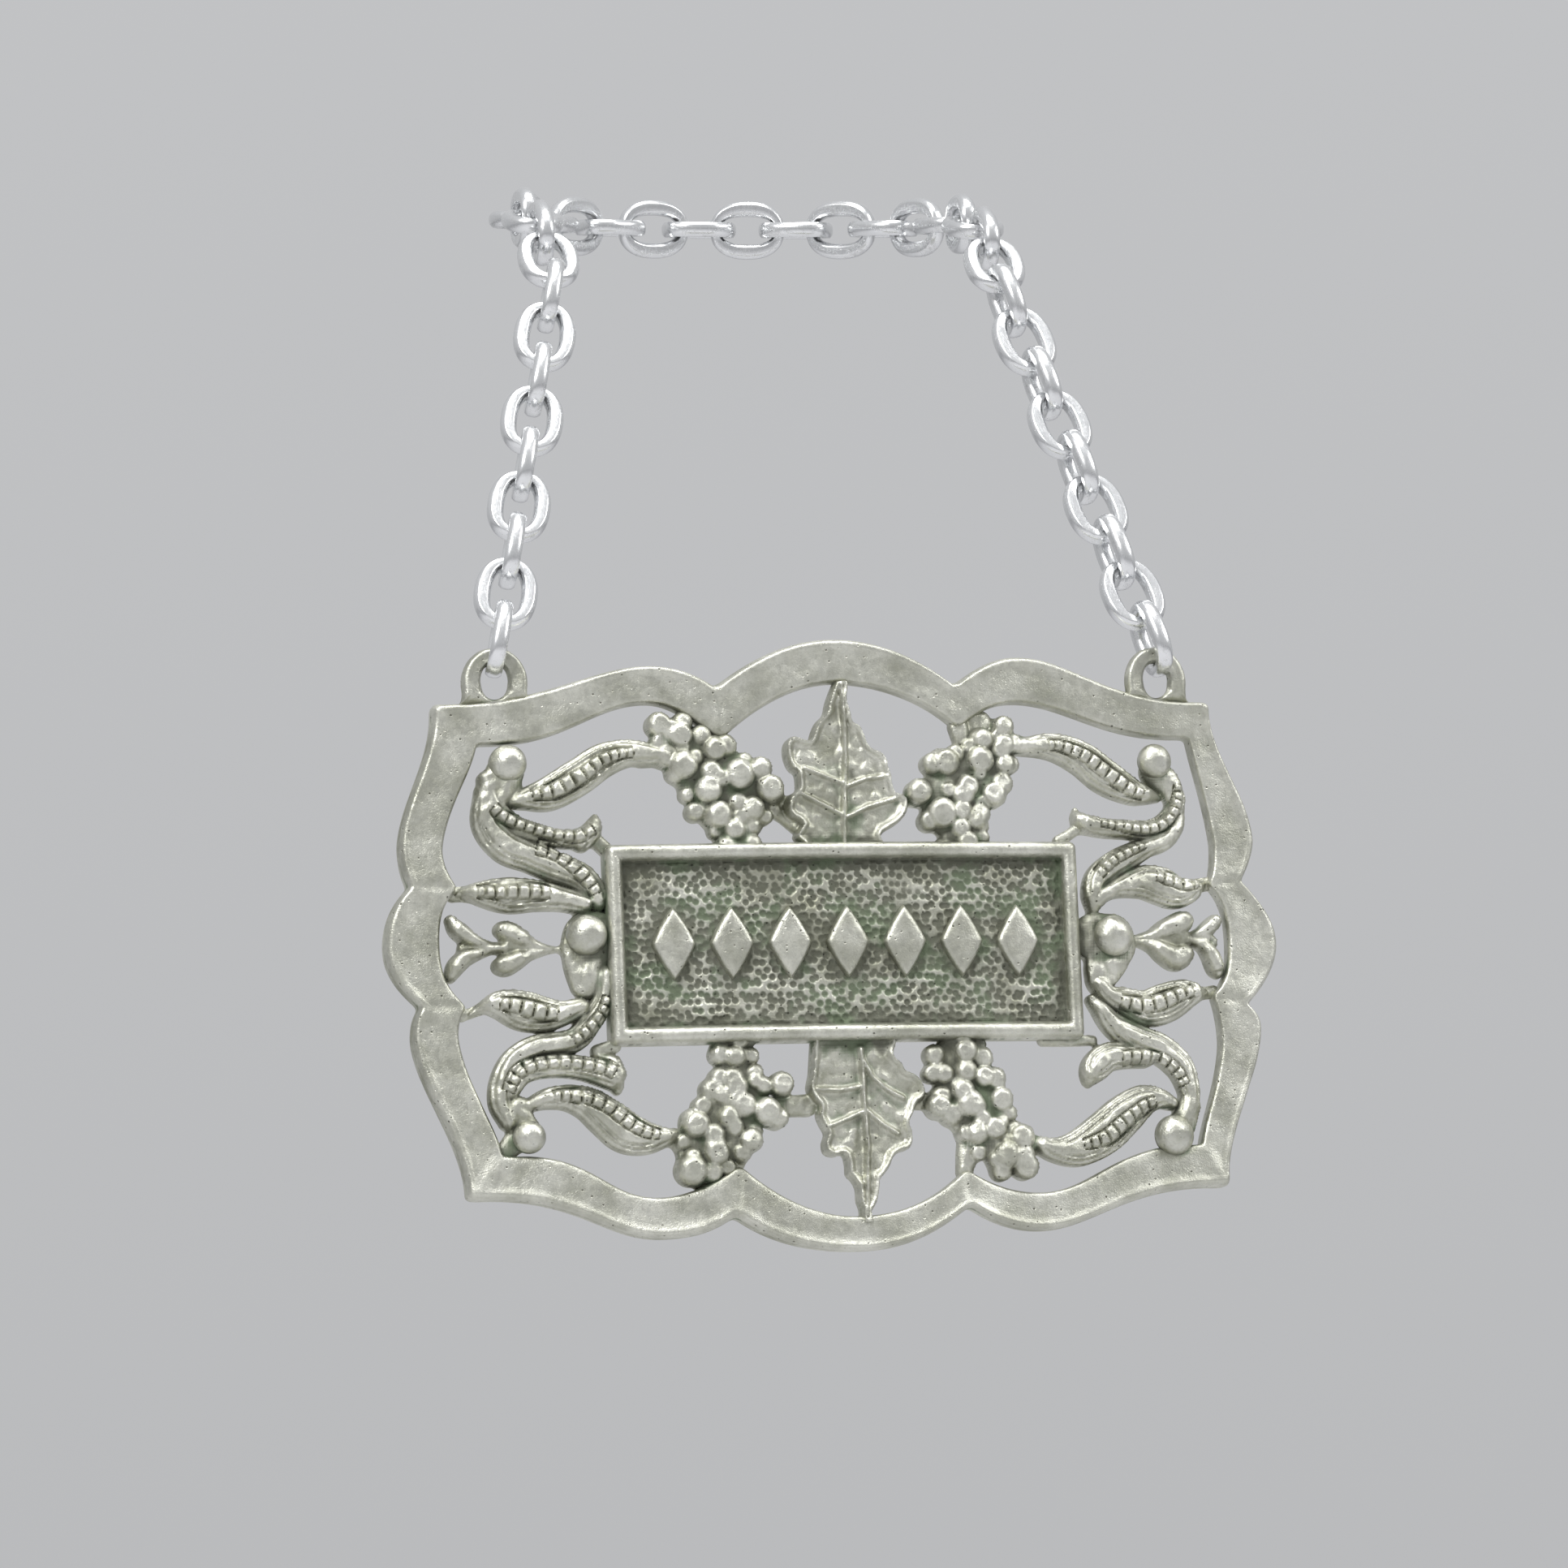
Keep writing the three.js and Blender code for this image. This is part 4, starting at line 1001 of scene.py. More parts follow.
# %% [markdown]
# ## Vine leaves
# Two vine leaves hang point outwards from the panel, each with a midrib and side veins. They
# could be sculpted by hand. Here a leaf is drawn as its ragged edge and the lines of its
# veins, and its depth is high on the veins, low between them and high again along the edge,
# which gives the cupped look of a cast leaf.

# %% Leaf surface
LEAF_POINTS = 200
VEIN_READING_DEPTH = 1.9
LEAF_DEPTH = 1.36
EDGE_LIFT, EDGE_INSET, EDGE_WIDTH = 0.42, 0.2, 0.3
MIDRIB_LIFT, MIDRIB_WIDTH = 0.5, 0.2
VEIN_LIFT, VEIN_WIDTH = 0.4, 0.18
FURROW_CUT, FURROW_WIDTH, FURROW_MOST = 0.3, 0.34, 0.35
PUCKER = 0.07
LEAF_TOP = picked("whole", [(1030, 838), (1025, 850), (1020, 865), (1017, 878), (1008, 888),
    (1003, 899), (999, 910), (990, 909), (982, 906), (974, 908), (969, 915), (968, 926),
    (971, 938), (976, 947), (982, 952), (984, 964), (983, 972), (976, 978), (971, 987),
    (971, 998), (977, 1006), (988, 1014), (984, 1022), (981, 1030), (989, 1039), (1000, 1048),
    (1045, 1052), (1098, 1046), (1090, 1036), (1087, 1028), (1095, 1021), (1107, 1014),
    (1116, 1004), (1120, 994), (1119, 983), (1112, 977), (1105, 975), (1101, 965), (1100, 955),
    (1096, 945), (1094, 934), (1088, 926), (1078, 922), (1071, 916), (1066, 903), (1061, 893),
    (1052, 887), (1049, 875), (1045, 860), (1045, 838)])
LEAF_BOTTOM = [[-2.7, -6.5]] + picked("whole", [(1001, 1305), (1000, 1322), (997, 1340),
    (1003, 1354), (1010, 1362), (1009, 1374), (1014, 1386), (1019, 1396), (1016, 1408),
    (1019, 1420), (1030, 1424), (1041, 1422), (1045, 1434), (1046, 1446), (1053, 1454),
    (1058, 1464), (1059, 1478), (1063, 1490), (1064, 1506), (1078, 1506), (1076, 1492),
    (1082, 1480), (1085, 1466), (1086, 1452), (1092, 1445), (1098, 1436), (1103, 1424),
    (1112, 1418), (1121, 1415), (1126, 1406), (1126, 1394), (1122, 1382), (1127, 1370),
    (1131, 1359), (1139, 1352), (1141, 1342), (1136, 1330), (1128, 1322), (1117, 1317),
    (1112, 1308), (1103, 1299)]) + [[2.75, -6.5]]
TOP_VEINS = [
    picked("whole", [(1037, 842), (1041, 880), (1043, 930), (1042, 970), (1041, 1010),
        (1042, 1040)], depth=VEIN_READING_DEPTH),
    picked("whole", [(1041, 964), (1018, 955), (992, 945)], depth=VEIN_READING_DEPTH),
    picked("whole", [(1043, 968), (1068, 958), (1095, 955)], depth=VEIN_READING_DEPTH),
    picked("whole", [(1040, 1003), (1012, 988), (984, 974)], depth=VEIN_READING_DEPTH),
    picked("whole", [(1043, 1006), (1070, 993), (1106, 982)], depth=VEIN_READING_DEPTH),
]
BOTTOM_VEINS = [
    picked("whole", [(1062, 1292), (1065, 1330), (1067, 1370), (1071, 1410), (1070, 1450),
        (1070, 1495)], depth=VEIN_READING_DEPTH),
    picked("whole", [(1062, 1300), (1076, 1325), (1094, 1341),
        (1114, 1352)], depth=VEIN_READING_DEPTH),
    picked("whole", [(1060, 1338), (1036, 1342), (1008, 1341)], depth=VEIN_READING_DEPTH),
    picked("whole", [(1068, 1366), (1088, 1383), (1108, 1396)], depth=VEIN_READING_DEPTH),
    picked("whole", [(1066, 1368), (1046, 1377), (1020, 1388)], depth=VEIN_READING_DEPTH),
]


def inside_distance(x, y, loop):
    """The distance to the nearest side of a closed line, negative inside it. A place is
    inside when a level line from it to the right crosses the sides an odd number of times."""
    after = np.roll(loop, -1, 0)
    ax, ay, bx, by = loop[:, 0], loop[:, 1], after[:, 0], after[:, 1]
    x, y = np.broadcast_arrays(x, y)
    x, y = x[..., None], y[..., None]
    dx, dy = bx - ax, by - ay + 1e-9
    t = np.clip(((x - ax) * dx + (y - ay) * dy) / (dx * dx + dy * dy), 0, 1)
    gap = np.hypot(x - ax - t * dx, y - ay - t * dy).min(-1)
    crossed = ((ay > y) != (by > y)) & (x < ax + (y - ay) * dx / dy)
    return np.where(crossed.sum(-1) % 2 == 1, -gap, gap)


def add_leaf(edge, veins, below):
    """Depth = the highest of the lifts along the edge, on the midrib and on the side veins,
    each falling off as a bell, over a puckered ground with a furrow on the lower side of
    each side vein. The very edge is rounded down."""
    loop = smooth_path(edge + edge[:1], LEAF_POINTS)
    where, x, y = window(loop.min(0) - 0.5, loop.max(0) + 0.5)
    off = inside_distance(x, y, loop[:-1])
    inner = np.maximum(-off, 0)
    puckers = PUCKER * lumpiness[where] * smooth_step(0.2, 0.7, inner)
    furrows = sum(FURROW_CUT * hump(to_line(x, y - below, vein), FURROW_WIDTH)
                  for vein in veins[1:])
    rise = puckers - np.minimum(furrows, FURROW_MOST) * smooth_step(0.25, 0.8, inner)
    rise = np.maximum(rise, EDGE_LIFT * hump(inner - EDGE_INSET, EDGE_WIDTH))
    rise = np.maximum(rise, MIDRIB_LIFT * hump(to_line(x, y, veins[0]), MIDRIB_WIDTH))
    for vein in veins[1:]:
        rise = np.maximum(rise, VEIN_LIFT * hump(to_line(x, y, vein), VEIN_WIDTH))
    rise = rise - 0.5 * (1 - smooth_step(0, 0.16, inner)) - 3 * np.maximum(off, 0)
    add_form(where, off, LEAF_DEPTH + rise, 0.15)


add_leaf(LEAF_TOP, TOP_VEINS, -0.4)
add_leaf(LEAF_BOTTOM, BOTTOM_VEINS, -0.42)
print("vine leaves: 2")

# %% [markdown]
# Rows of pearls run down the scrolls and the narrow leaves. They were struck into the pattern
# with a small punch, so each is a low cushion in a shallow channel, and no two gaps are quite
# the same. Beads strung on a curve would stand too proud. They go on last, so that the
# grooves don't cut them.

# %% Pearls
PEARL_ROWS = [
    picked("whole", [(655, 980, 0.3), (668, 977, 0.38), (685, 973, 0.46), (705, 962, 0.46),
        (722, 951, 0.42), (738, 939, 0.38), (758, 930, 0.32), (780, 927, 0.26)], in_mm=True),
    picked("whole", [(1408, 979, 0.3), (1392, 972, 0.38), (1380, 964, 0.42), (1363, 951, 0.42),
        (1346, 938, 0.4), (1328, 927, 0.36), (1306, 919, 0.32), (1290, 918, 0.26)], in_mm=True),
    picked("low_left", [(400, 672, 18), (440, 668, 22), (500, 670, 26), (560, 672, 30),
        (620, 690, 31), (680, 720, 31), (740, 770, 30), (800, 815, 27), (860, 845, 24),
        (920, 858, 18)]),
    picked("low_right", [(690, 908, 18), (760, 890, 26), (810, 868, 29), (850, 835, 30),
        (890, 800, 30), (940, 760, 28), (990, 722, 26), (1040, 698, 20)]),
    picked("left", [(598, 350, 24), (650, 400, 28), (733, 435, 30), (867, 480, 30),
        (974, 503, 30), (1095, 510, 32), (1175, 470, 30)]),
    picked("left", [(850, 575, 36), (960, 605, 38), (1040, 660, 36), (1110, 730, 34),
        (1170, 800, 30), (1195, 850, 26)]),
    picked("low_left", [(181, 655, 22), (205, 590, 26), (249, 542, 28), (339, 512, 30),
        (453, 500, 30), (566, 512, 30), (657, 533, 28), (702, 560, 24)]),
    picked("low_left", [(672, 190, 22), (645, 270, 25), (577, 350, 26), (500, 405, 22)]),
    picked("right", [(662, 431, 24), (657, 517, 28), (622, 610, 30), (561, 675, 32),
        (461, 700, 32), (360, 694, 30), (275, 674, 28), (180, 660, 24)]),
    picked("right", [(445, 800, 24), (370, 830, 28), (310, 860, 30), (260, 890, 30),
        (215, 930, 30), (165, 985, 28)]),
    picked("low_right", [(880, 490, 26), (960, 480, 28), (1040, 490, 28), (1100, 515, 27),
        (1150, 560, 25), (1182, 620, 20)]),
    picked("left", [(500, 838, 26), (620, 836, 34), (760, 835, 38), (880, 838, 34),
        (930, 842, 26)]),
    picked("low_left", [(140, 224, 22), (195, 228, 28), (250, 240, 32), (310, 255, 34),
        (370, 266, 32), (425, 272, 26)]),
    picked("right", [(520, 990, 26), (580, 1010, 32), (630, 1022, 34), (680, 1038, 34),
        (740, 1042, 32), (795, 1030, 24)]),
    picked("low_right", [(870, 212, 24), (950, 228, 30), (1018, 224, 32), (1085, 206, 32),
        (1150, 178, 28), (1225, 158, 22)]),
]
PEARL_WIDTH = 1.28
PEARL_PITCH = 1.5
PEARL_LIFT, CHANNEL_CUT = 0.44, 0.22
METAL_GRAIN = 0.022


def add_pearls(knots):
    """The phase grows by one for every one and a half half widths along the row. Within a
    phase a cushion rises as the root of one less a power of the share along, times one less
    a power of the share across."""
    knots = np.array(knots) * [1, 1, PEARL_WIDTH]
    where, place, beside, half, past, _, run, path = beside_path(knots, 1.1)
    phase = np.append(0, np.cumsum(np.diff(run) / (PEARL_PITCH * (path[1:, 2] + path[:-1, 2]) / 2)))
    phase *= max(2, round(phase[-1])) / phase[-1]
    along = np.interp(place, run, phase) % 1 * 2 - 1
    across = np.abs(beside) / half
    cushion = (np.clip(1 - np.abs(along * 1.05)**3, 0, 1) * np.clip(1 - across**3, 0, 1))**0.5
    channel = 1 - smooth_step(1.02, 1.35, across)
    depth_field[where] += np.where(past > 0, 0, (PEARL_LIFT * cushion - CHANNEL_CUT) * channel)


depth_field += METAL_GRAIN * random_waves(5, 4)
for knots in PEARL_ROWS:
    add_pearls(knots)
print("pearl rows:", len(PEARL_ROWS))

# %% [markdown]
# The field becomes meshes. Every cell whose middle is metal is kept, its corner points at the
# rim are slid onto the edge line so that no stairs show, and walls go down to a flat back.
# The cells are shared out among several pieces, each named for what it holds.

# %% From field to shells
UNDER_PANEL = 0.7
MOST_SLIDE = 0.62 * CELL_SIZE
RELIEF_LOWEST, RELIEF_HIGHEST = 0.5, 2.35
inside_panel = rim_distance(field_across[:, None], field_up[None, :])
edge_field = np.maximum(edge_field, inside_panel - UNDER_PANEL)
middle_edge = (edge_field[1:, 1:] + edge_field[:-1, 1:] + edge_field[1:, :-1]
               + edge_field[:-1, :-1]) / 4
kept = middle_edge < 0
for _ in range(2):
    a, b, c, d = kept[:-1, :-1], kept[1:, :-1], kept[:-1, 1:], kept[1:, 1:]
    touching = (a & d & ~b & ~c) | (b & c & ~a & ~d)
    kept[:-1, :-1] |= touching
    kept[1:, 1:] |= touching
    kept[1:, :-1] |= touching
padded = np.pad(kept, 1)
around_point = padded[1:, 1:].astype(int) + padded[:-1, 1:] + padded[1:, :-1] + padded[:-1, :-1]
at_rim = (around_point > 0) & (around_point < 4)
slope_x, slope_y = np.gradient(edge_field, CELL_SIZE)
steepness = np.maximum(slope_x**2 + slope_y**2, 0.2)
slide = np.clip(-edge_field / np.sqrt(steepness), -MOST_SLIDE, MOST_SLIDE) * at_rim
relief_x = field_across[:, None] + slide * slope_x / np.sqrt(steepness)
relief_y = field_up[None, :] + slide * slope_y / np.sqrt(steepness)
depth_field = np.clip(depth_field, RELIEF_LOWEST, RELIEF_HIGHEST)
print("relief cells:", int(kept.sum()))


def relief_shell(chosen):
    """Each chosen cell is a quad in front and one at the back, and a wall stands on every
    side of it whose neighbour isn't chosen."""
    rows, columns = depth_field.shape
    number = np.arange(rows * columns).reshape(rows, columns)
    corner = [number[:-1, :-1], number[1:, :-1], number[1:, 1:], number[:-1, 1:]]
    face = np.stack([part[chosen] for part in corner], -1)
    border = np.pad(chosen, 1)
    sides = [(border[1:-1, :-2], 0, 1), (border[2:, 1:-1], 1, 2), (border[1:-1, 2:], 2, 3),
             (border[:-2, 1:-1], 3, 0)]
    total = rows * columns
    walls = []
    for neighbour, first, second in sides:
        bare = chosen & ~neighbour
        p, q = corner[first][bare], corner[second][bare]
        walls.append(np.stack([q, p, p + total, q + total], -1))
    quads = np.concatenate([face, face[:, ::-1] + total] + walls)
    used, quads = np.unique(quads, return_inverse=True)
    quads = quads.reshape(-1, 4)
    front = used < total
    spot = used % total
    points = np.stack([relief_x.ravel()[spot], relief_y.ravel()[spot],
                       np.where(front, depth_field.ravel()[spot], RELIEF_BACK)], -1)
    return facing_out(points, quads, np.zeros((0, 3), int), np.zeros(len(points)))


LEAF_REACH = 5.0
BUNCH_REACH = 12.6
SPEAR_UP = 2.15
middle_x = np.broadcast_to(field_across[:-1, None] + CELL_SIZE / 2, kept.shape)
middle_y = np.broadcast_to(field_up[None, :-1] + CELL_SIZE / 2, kept.shape)
for level_name, in_level in (("top", middle_y > SPEAR_UP), ("bottom", middle_y < -SPEAR_UP)):
    in_leaf = in_level & (np.abs(middle_x) <= LEAF_REACH)
    cast["vine_leaf_" + level_name] = [relief_shell(kept & in_leaf)]
    for side_name, side in (("left", -1), ("right", 1)):
        out = side * middle_x
        in_bunch = in_level & (out > LEAF_REACH) & (out <= BUNCH_REACH)
        cast[f"grapes_{level_name}_{side_name}"] = [relief_shell(kept & in_bunch)]
        in_scroll = in_level & (out > BUNCH_REACH)
        cast[f"scrolls_{level_name}_{side_name}"] = [relief_shell(kept & in_scroll)]
for side_name, side in (("left", -1), ("right", 1)):
    in_spear = (np.abs(middle_y) <= SPEAR_UP) & (side * middle_x > 0)
    cast["spears_" + side_name] = [relief_shell(kept & in_spear)]
print("casting pieces so far:", len(cast))

# %% [markdown]
# The six beads are the highest and the most rubbed parts. A height field can't show the
# undercut of a ball, so they are separate balls by latitude and longitude, and each has a
# few worn facets.

# %% Beads
BEAD_READING_DEPTH = 1.8
BEAD_READINGS = [
    ("left", (1145, 1085, 120)), ("whole", (626.5, 940, 23.5)), ("low_left", (290, 870, 80)),
    ("right", (265, 1365, 130)), ("right", (520, 285, 110)), ("low_right", (1140, 860, 100))]
BEADS = [picked(crop, [reading], BEAD_READING_DEPTH)[0] for crop, reading in BEAD_READINGS]
BEAD_DEPTH = 1.35
BEAD_BACK_GAP = 0.15
BALL_RINGS, BALL_AROUND = 32, 48
POLE_GAP = 0.04
FACETS = [((0.15, -0.2, 1), 0.93), ((0.1, 0.9, 0.6), 0.95), ((-0.8, 0.3, 0.6), 0.96)]
FACET_PUSH = 0.8


def ball_shell(across, up, radius):
    """Rings from one pole to the other. Each facet is a direction and a share of the radius:
    what stands out past that share in that direction is pushed most of the way back."""
    polar = np.linspace(POLE_GAP, math.pi - POLE_GAP, BALL_RINGS)[:, None]
    turn = np.linspace(0, 2 * math.pi, BALL_AROUND, endpoint=False)
    unit = np.stack([np.sin(polar) * np.cos(turn), np.sin(polar) * np.sin(turn),
                     np.broadcast_to(np.cos(polar), (BALL_RINGS, BALL_AROUND))], -1)
    for direction, share in FACETS:
        direction = np.array(direction, float) / np.linalg.norm(direction)
        past = np.maximum(unit @ direction - share, 0)
        unit = unit - FACET_PUSH * past[..., None] * direction
    behind = min(1.0, (BEAD_DEPTH - BEAD_BACK_GAP) / radius)
    out = np.where(unit[..., 2] < 0, unit[..., 2] * behind, unit[..., 2])
    points = np.stack([across + radius * unit[..., 0], up + radius * unit[..., 1],
                       BEAD_DEPTH + radius * out], -1)
    return loft(points, 0.0)


cast["beads"] = [ball_shell(*bead) for bead in BEADS]
print("beads:", len(BEADS))

# %% [markdown]
# ## Where dirt and painted shade gather
# Pewter darkens and greens wherever a cloth never reaches, and the same hollows also get
# painted shade, where little light falls. The Pointiness output could find such places, but it
# changes with the fineness of the mesh. Here a map of the highest metal over the whole plate
# is blurred, and each point's recess is how far it lies below the blurred map. The value goes
# into the mesh as an attribute that the materials read.

# %% Recess of every point
MAP_STEP = 0.2
MAP_HALF = (34.0, 24.0)
MAP_LOWEST = 0.55
NEAR_BLUR, NEAR_DEPTH = 5, 0.6
FAR_BLUR, FAR_DEPTH = 13, 1.6
BACK_TO_FRONT = (0.85, 1.25)
BACK_RECESS = 0.12


def map_cells(points):
    """The column and the row of the map's cell that each point lies over."""
    return tuple(np.round((points[:, k] + MAP_HALF[k]) / MAP_STEP).astype(int) for k in (0, 1))


highest = np.full([int(2 * half / MAP_STEP) + 1 for half in MAP_HALF], MAP_LOWEST)
for points, *_ in (shell for group in cast.values() for shell in group):
    np.maximum.at(highest, map_cells(points), points[:, 2])
near_map, far_map = blurred(highest, NEAR_BLUR), blurred(highest, FAR_BLUR)


def with_recess(shell):
    """The shell with its recess worked out: the depth below the near map over 0.6 mm, plus
    the depth below the far map over 1.6 mm, plus the shell's own extra recess, kept between
    nought and one. The pewter reads it for painted shade, dark film, green patina and rubbing.
    The plain back was rubbed by the bottle, so it has one small recess all over."""
    points, quads, triangles, own = shell
    here = map_cells(points)
    near = (near_map[here] - points[:, 2]) / NEAR_DEPTH
    far = (far_map[here] - points[:, 2]) / FAR_DEPTH
    front = smooth_step(*BACK_TO_FRONT, points[:, 2])
    recess = BACK_RECESS + front * (np.clip(near + far + own, 0, 1) - BACK_RECESS)
    return points, quads, triangles, recess


print("recess map:", highest.shape)

# %% [markdown]
# ## Cast pewter
# Old pewter is a soft warm grey. It is dull where it was cast, brighter where it is rubbed,
# freckled with tiny pits, and greenish in its hollows. Its hollows are darkened too, partly by
# real dark film and partly by painted shade where little light falls. Each of these is a mask
# between nought and one, made from the recess attribute and from noise on the object's own
# coordinates, and the masks mix colours and roughness. An image texture would need the plate
# unwrapped, and these masks follow any change of its shape.

# %% Pewter finish
DULL_PEWTER, CLEAR_PEWTER = (0.33, 0.335, 0.26, 1), (0.66, 0.66, 0.585, 1)
RUBBED_METAL = (0.76, 0.76, 0.72, 1)
# The first colour below is painted shade mixed with real dark film, for the hollows where little
# light falls; the second is real green patina.
DARK_FILM_AND_SHADE, GREEN_FILM = (0.10, 0.105, 0.075, 1), (0.14, 0.195, 0.11, 1)
PIT_DIRT, SPECKLE_DIRT = (0.06, 0.06, 0.045, 1), (0.16, 0.155, 0.12, 1)
PIT_SPACING = 0.55


def pewter(name, polish=0.0, pit_share=1.0):
    """Colour goes from rubbed metal to dull metal to a dark mix of real film and painted shade
    with the recess, and green comes in patches. Several sizes of noise break the edges of those
    zones up. Pits and a fine grain are bumps. Polish brightens what is rubbed, and pit_share
    weakens the pits."""
    metal = Finish(name)
    recess = metal.node("ShaderNodeAttribute", {"attribute_name": "recess"}, output="Fac")
    cloud = metal.noise(2.6, detail=4)
    mottle = metal.noise(0.55, detail=4, roughness=0.65)
    grain = metal.noise(0.11, detail=2)
    # This mask is painted shade mixed with real dark film: it grows with the recess, where little
    # light falls.
    film_and_shade = metal.between(0.15, 0.75, recess + (mottle - 0.5) * 0.5 + (cloud - 0.5) * 0.3)
    green = metal.between(0.46, 0.64, cloud) * metal.between(0.06, 0.40, recess)
    rubbed = metal.between(0.12, -0.15, recess + (mottle - 0.5) * 0.25)
    wide = metal.noise(6.5, detail=3)
    tone = metal.tint(metal.between(0.36, 0.64, cloud * 0.5 + mottle * 0.25 + wide * 0.25),
                      DULL_PEWTER, CLEAR_PEWTER)
    tone = metal.tint(rubbed * (0.45 + polish), tone, RUBBED_METAL)
    tone = metal.tint(film_and_shade * 0.85, tone, DARK_FILM_AND_SHADE)
    tone = metal.tint(green * 0.6, tone, GREEN_FILM)
    cells = metal.node("ShaderNodeTexVoronoi", {"feature": "F1"}, output="Distance",
                       Vector=metal.here, Scale=1 / (PIT_SPACING * MM), Randomness=1.0)
    sparse = metal.between(0.47, 0.57, metal.noise(1.1, detail=1))
    pits = metal.between(0.19, 0.06, cells) * sparse * pit_share
    tone = metal.tint(pits * 0.8, tone, PIT_DIRT)
    speckle = metal.between(0.50, 0.70, metal.noise(0.22, detail=3, roughness=0.7))
    tone = metal.tint(speckle * 0.16, tone, SPECKLE_DIRT)
    rough = (0.47 + film_and_shade * 0.25 + (mottle - 0.5) * 0.22 - rubbed * (0.08 + 0.3 * polish)
             + pits * 0.2)
    relief = grain * 0.6 + mottle * 1.2 + cloud * 1.2 - pits * 1.6
    bump = metal.node("ShaderNodeBump", output="Normal", Height=relief, Strength=0.7,
                      Distance=0.06 * MM)
    metal.wear_in(Base_Color=tone, Roughness=rough, Normal=bump)
    metal.wear_in(Metallic=1.0 - film_and_shade * 0.45)
    return metal.material


cast_pewter = pewter("cast_pewter")
polished_pewter = pewter("rubbed_pewter", polish=0.35, pit_share=0.4)
print("pewter finishes ready")

# %% [markdown]
# Now the shells become mesh objects. They all ride on the label's body. The frame band takes
# the place of the one CAD solid of the casting, and the beads get the more polished finish.
# One joined mesh would do as well, but separate pieces can be hidden and looked at one by one.

# %% Make the casting
RUBBED = {"beads"}
for name, group in cast.items():
    finish = polished_pewter if name in RUBBED else cast_pewter
    stands_for = ("label_plate",) if name == "frame_band" else ()
    on_label(name, with_recess(joined(group)), finish, stands_for)

# %% [markdown]
# ## Chain links
# Each link is an oval of bright silver plate, diamond-cut: a wide flat front and back with
# bevels inside and outside. A stretched torus would be round everywhere and wouldn't glint
# in the same way, so a link is worked out once, from a section with flats and bevels.

# %% One link
LINK_LENGTH, LINK_WIDTH, LINK_THICK = 5.75, 4.5, 1.15
LINK_END_BAR, LINK_SIDE_BAR = 0.85, 1.2
LINK_ROUNDNESS = 2.4
LINK_STEPS = 96
HALF_SECTION = [[1.0, 0.0], [0.985, 0.3], [0.93, 0.52], [0.86, 0.66], [0.60, 0.93],
                [0.52, 0.985], [0.44, 1.0]]
SECTION = np.array(HALF_SECTION + [[-out, thick] for out, thick in reversed(HALF_SECTION)])


def link_rings():
    """The middle line is an oval of power 2.4. Across it stands a section with two flats
    and four bevels, and the bar is thinner at the ends than at the sides."""
    turn = np.linspace(0, 2 * math.pi, LINK_STEPS, endpoint=False)

    def middle_line(angle):
        power = 2 / LINK_ROUNDNESS
        cos, sin = np.cos(angle), np.sin(angle)
        return np.stack([(LINK_WIDTH - LINK_SIDE_BAR) / 2 * np.sign(cos) * np.abs(cos)**power,
                         (LINK_LENGTH - LINK_END_BAR) / 2 * np.sign(sin) * np.abs(sin)**power], -1)

    line = middle_line(turn)
    ahead = middle_line(turn + 0.05) - middle_line(turn - 0.05)
    ahead /= np.linalg.norm(ahead, axis=1)[:, None]
    out = np.stack([ahead[:, 1], -ahead[:, 0]], -1)
    bar = (LINK_SIDE_BAR + (LINK_END_BAR - LINK_SIDE_BAR) * np.sin(turn)**2) / 2
    section = np.concatenate([SECTION, SECTION[-2:0:-1] * [1, -1]])
    flat_points = line[:, None] + out[:, None] * (bar[:, None] * section[:, 0])[..., None]
    thick = np.broadcast_to(section[:, 1] * LINK_THICK / 2, flat_points.shape[:2])
    return np.concatenate([flat_points, thick[..., None]], -1)


rings_of_link = link_rings()
print("link rings:", rings_of_link.shape)

# %% [markdown]
# Plated links are bright, with a satin worn in by rubbing on each other, hairline scratches
# and clouds of light grey tarnish. A plain metal colour would look like chrome. A mirror
# needs something uneven in it, and noise in the roughness gives that.

# %% Silver finish
SILVER_LOW, SILVER_HIGH = (0.72, 0.73, 0.74, 1), (0.88, 0.885, 0.89, 1)
SILVER_TARNISH = (0.34, 0.34, 0.33, 1)


def silver(name):
    """Bright plate with cloudy tarnish and fine scratches from stretched noise."""
    metal = Finish(name)
    cloud = metal.noise(2.2, detail=4)
    mottle = metal.noise(0.4, detail=4, roughness=0.65)
    stretched = metal.node("ShaderNodeMapping", Vector=metal.here, Scale=(6, 6, 1))
    scratches = metal.noise(0.7, detail=5, roughness=0.75, where=stretched)
    tarnish = metal.between(0.50, 0.80, cloud * 0.6 + mottle * 0.4)
    tone = metal.tint(metal.held(cloud), SILVER_LOW, SILVER_HIGH)
    tone = metal.tint(tarnish * 0.65, tone, SILVER_TARNISH)
    rough = 0.24 + tarnish * 0.2 + (scratches - 0.5) * 0.28
    relief = mottle * 0.5 + scratches * 0.5
    bump = metal.node("ShaderNodeBump", output="Normal", Height=relief, Strength=0.35,
                      Distance=0.02 * MM)
    metal.wear_in(Base_Color=tone, Roughness=rough, Normal=bump, Metallic=1.0)
    return metal.material


silver_plate = silver("silver_plate")
print("silver ready")

# %% [markdown]
# Every CAD link has its own place and turn, and a body that it moves with. Typing 39 places
# would be long and would go stale with the next change. The CAD link's own points tell its
# middle and its three directions, and the worked-out link is laid into them.

# %% Lay a link into every CAD link
def own_frame(node):
    """The middle of a node's box of points along its three main directions, longest first.
    The directions come from the spread of its points."""
    count = len(node.data.vertices)
    points = np.zeros(count * 3, np.float32)
    node.data.vertices.foreach_get("co", points)
    points = points.reshape(-1, 3).astype(float) / MM
    spread = points - points.mean(0)
    _, _, directions = np.linalg.svd(spread, full_matrices=False)
    along = points @ directions.T
    middle = (along.max(0) + along.min(0)) / 2 @ directions
    return middle, directions


